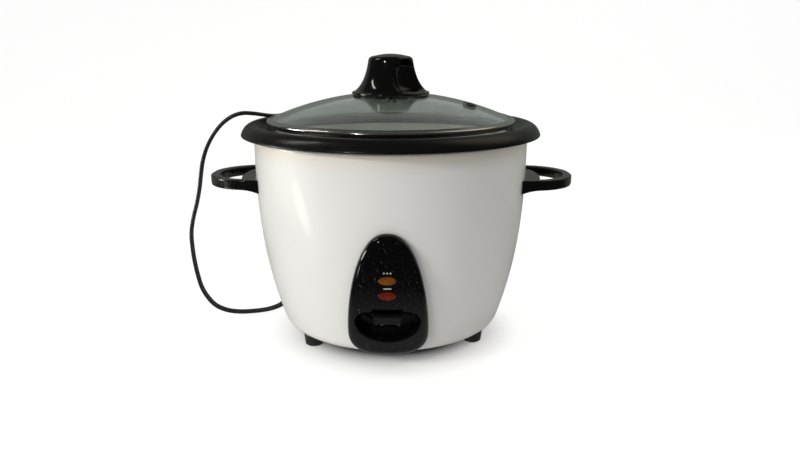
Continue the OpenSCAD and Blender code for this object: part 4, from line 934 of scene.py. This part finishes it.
def make_lens(name, z, color, tint, node_name):
    """Domed lens that follows the panel's front, a little proud of it, with a small faceted core; its colour
    is a painted highlight in the middle and painted shade at the edge.
    """
    around, edge_share, edge_out, crown = 72, 0.94, 0.5, 0.45
    rows = [(1.0, -3.0), (1.0, -0.2), (1.0, 0.1), (0.975, 0.34), (edge_share, edge_out)]
    rows += [(s, edge_out + crown * (1 - (s / edge_share) ** 2)) for s in np.linspace(0.86, 0.06, 9)]
    half_w, half_h, front = LENS_W / 2, LENS_H / 2, proud(z)
    verts = [on_shell(half_w * share * math.cos(a), z + half_h * share * math.sin(a), front + out)
             for share, out in rows for a in full_turn(around)]
    made = material(name + "_glass", color, 0.2, Coat_Weight=0.3, Coat_Roughness=0.03,
                    Specular_IOR_Level=0.3)
    oval = mapped(made, (1 / half_w / MM, 0, 1 / half_h / MM), (0, 0, -z / half_h))
    cells = node(made, "TexVoronoi", [("Vector", place(made), "Object")], Scale=900)
    # painted highlight and shade: the colour is lighter towards the lens's middle and darker towards its
    # edge
    shades = [(0.0, tuple(min(1, c * 1.5) for c in color)), (0.62, color), (0.86, tint),
              (0.97, tuple(c * 0.45 for c in color))]
    core = ramp(made, length(made, oval, "Vector"), "Value", shades)
    dark = tuple(c * 0.35 for c in color)
    wire(made, mix(made, cells, "Distance", (core, "Color"), dark), RESULT, "Base Color")
    bump(made, cells, "Distance", 0.00012, 0.5)
    add(name, verts, capped(len(rows), around), "housing", made, name, 50, [node_name])


def make_marks():
    """Two small plain marks above the lenses: three dots and a short bar."""
    verts, faces = [], []
    tile_faces = ((0, 1, 2, 3), (4, 5, 6, 7), (0, 1, 5, 4), (1, 2, 6, 5), (2, 3, 7, 6), (3, 0, 4, 7))
    dots = [(x, x + 1.0, WARM_Z + 5.0, WARM_Z + 6.0) for x in (-2.6, -0.5, 1.6)]
    bar = (-2.6, 2.6, COOK_Z + 4.9, COOK_Z + 5.7)
    for x0, x1, z0, z1 in dots + [bar]:
        first = len(verts)
        for out in (0.02, 0.09):
            for x, z in ((x0, z0), (x1, z0), (x1, z1), (x0, z1)):
                verts.append(on_shell(x, z, proud(z) + out))
        faces += [tuple(first + k for k in face) for face in tile_faces]
    add("panel_marks", verts, faces, "housing", plain("mark_white", (0.42, 0.44, 0.43), 0.5),
        "panel_plastic")


# ---------------- pieces that follow their CAD solids
def softened(name, node_name, body, finish, voxel=0.5, rounds=8):
    """Same form as the CAD solid, with its edges rounded and its curves evened out."""
    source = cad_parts[node_name]
    piece = linked(name, source.data.copy())
    piece.matrix_world = source.matrix_world
    remesh = piece.modifiers.new("remesh", "REMESH")
    remesh.mode, remesh.voxel_size = "VOXEL", voxel * MM
    smooth = piece.modifiers.new("smooth", "SMOOTH")
    smooth.factor, smooth.iterations = 0.5, rounds
    apply_modifiers(piece)
    dress(piece, body, finish, 60, [node_name])


def handle_finish():
    """Black with scuffs along the grip and a little dust."""
    made = gloss_black("handle_black", HANDLE_BLACK, 0.24)
    scuffs = noise(made, 90, 4.0, 0.6, stretch=(1, 6, 1))
    wire(made, ramp(made, scuffs, "Fac", [(0.45, 0.2), (0.62, 0.34), (0.68, 0.55)]), "Color", "Roughness")
    dust = ramp(made, noise(made, 800), "Fac", [(0.7, 0.0), (0.74, 1.0)])
    wire(made, mix(made, dust, "Color", HANDLE_BLACK, HANDLE_DUST), RESULT, "Base Color")
    return made


def make_spring(name, solid, wire_r, steel_look):
    """Spring between two bodies, the lower and the upper, made at the length of its CAD solid."""
    lowest, highest = low(solid), high(solid)
    middle = (lowest + highest) / 2
    turns, per_turn, around = 5, 32, 12
    mean_r = (highest[0] - lowest[0]) / 2 - wire_r
    share = np.linspace(0, 1, turns * per_turn + 1)
    angle = 2 * math.pi * turns * share
    line = np.column_stack([middle[0] + mean_r * np.cos(angle), middle[1] + mean_r * np.sin(angle),
                            lowest[2] + wire_r + (highest[2] - lowest[2] - 2 * wire_r) * share])
    outline = [(wire_r * math.cos(a), wire_r * math.sin(a)) for a in full_turn(around)]
    piece = add(name, *sweep(line, outline, level_across), None, steel_look, "spring_steel", 60, [solid])
    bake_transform(piece)


def finish_nodes():
    """Finishes of the CAD solids that are shown as they are."""
    bare_steel = steel("bare_steel", (0.42, 0.43, 0.44), 0.34)
    screw = steel("screw_steel", (0.50, 0.50, 0.49), 0.3)
    zinc = steel("base_zinc", (0.36, 0.37, 0.37), 0.42, scale=70)
    brass = steel("contact_brass", (0.62, 0.47, 0.21), 0.3)
    aluminium = steel("plate_aluminium", (0.62, 0.62, 0.61), 0.36, scale=60)
    rubber = plain("foot_plastic", (0.016, 0.017, 0.018), 0.5)
    mica = plain("mica_band", (0.40, 0.31, 0.20), 0.5)
    looks = {
        "base_cover": zinc, "base_screws": screw, "handle_screws": screw, "panel_screws": screw,
        "plate_screws": screw, "bracket_screws": screw, "knob_screw": screw, "lever_pin": bare_steel,
        "lift_rod": bare_steel, "switch_bracket": bare_steel, "plate_posts": bare_steel,
        "inner_liner": aluminium, "heating_plate": aluminium, "sensor_cup": aluminium,
        "contact_blades": brass, "plug_blades": brass, "keep_warm_heater": mica,
        "foot_front_left": rubber, "foot_front_right": rubber, "foot_rear": rubber,
        "heating_element": steel("element_steel", (0.20, 0.20, 0.20), 0.45),
        "latch_magnet": plain("ferrite", (0.05, 0.05, 0.055), 0.5),
        "thermal_fuse": plain("fuse_ceramic", (0.62, 0.58, 0.48), 0.5),
        "lamp_holder": plain("holder_plastic", (0.55, 0.53, 0.46), 0.45),
        "neon_lamps": plain("lamp_glass", (0.75, 0.48, 0.38), 0.15, scale=300),
        "contact_block": plain("contact_phenolic", (0.13, 0.06, 0.03), 0.45),
        "inner_leads": plain("lead_insulation", (0.35, 0.03, 0.02), 0.45),
        "knob_washer": plain("washer_silicone", (0.05, 0.05, 0.05), 0.6),
        "steam_vent": steel("vent_steel", (0.15, 0.15, 0.146), 0.42),
    }
    looks["sensor_ferrite"] = looks["latch_magnet"]
    for name, look in looks.items():
        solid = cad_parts[name]
        for slot in solid.material_slots:
            slot.material = look
        solid.data.shade_smooth()
        solid.data.set_sharp_from_angle(angle=math.radians(30))


make_shell()
make_pot()
make_glass()
make_rim()
make_knob()
make_panel()
make_lens("amber_lens", WARM_Z, (0.24, 0.07, 0.002), (0.17, 0.07, 0.012), "warm_lens")
make_lens("red_lens", COOK_Z, (0.19, 0.011, 0.001), (0.15, 0.03, 0.012), "cook_lens")
make_marks()
handle_black = handle_finish()
softened("grip_left", "handle_left", "housing", handle_black)
softened("grip_right", "handle_right", "housing", handle_black)
lever_black = plain("lever_black", (0.012, 0.0125, 0.013), 0.34, Specular_IOR_Level=0.3)
softened("lever_tab", "cook_lever", "lever", lever_black, 0.35, 5)
softened("cord_relief", "cord_gland", "housing", cord_rubber, 0.35, 4)
softened("plug_moulding", "plug_body", "housing", cord_rubber, 0.35, 6)
tie_black = plain("tie_plastic", (0.02, 0.02, 0.02), 0.4)
softened("coil_tie", "cord_tie", "housing", tie_black, 0.25, 4)
spring_steel = steel("spring_steel", (0.55, 0.55, 0.54), 0.25)
make_spring("rod_helix", "rod_spring", 0.4, spring_steel)
make_spring("sensor_helix", "sensor_spring", 0.7, spring_steel)
finish_nodes()
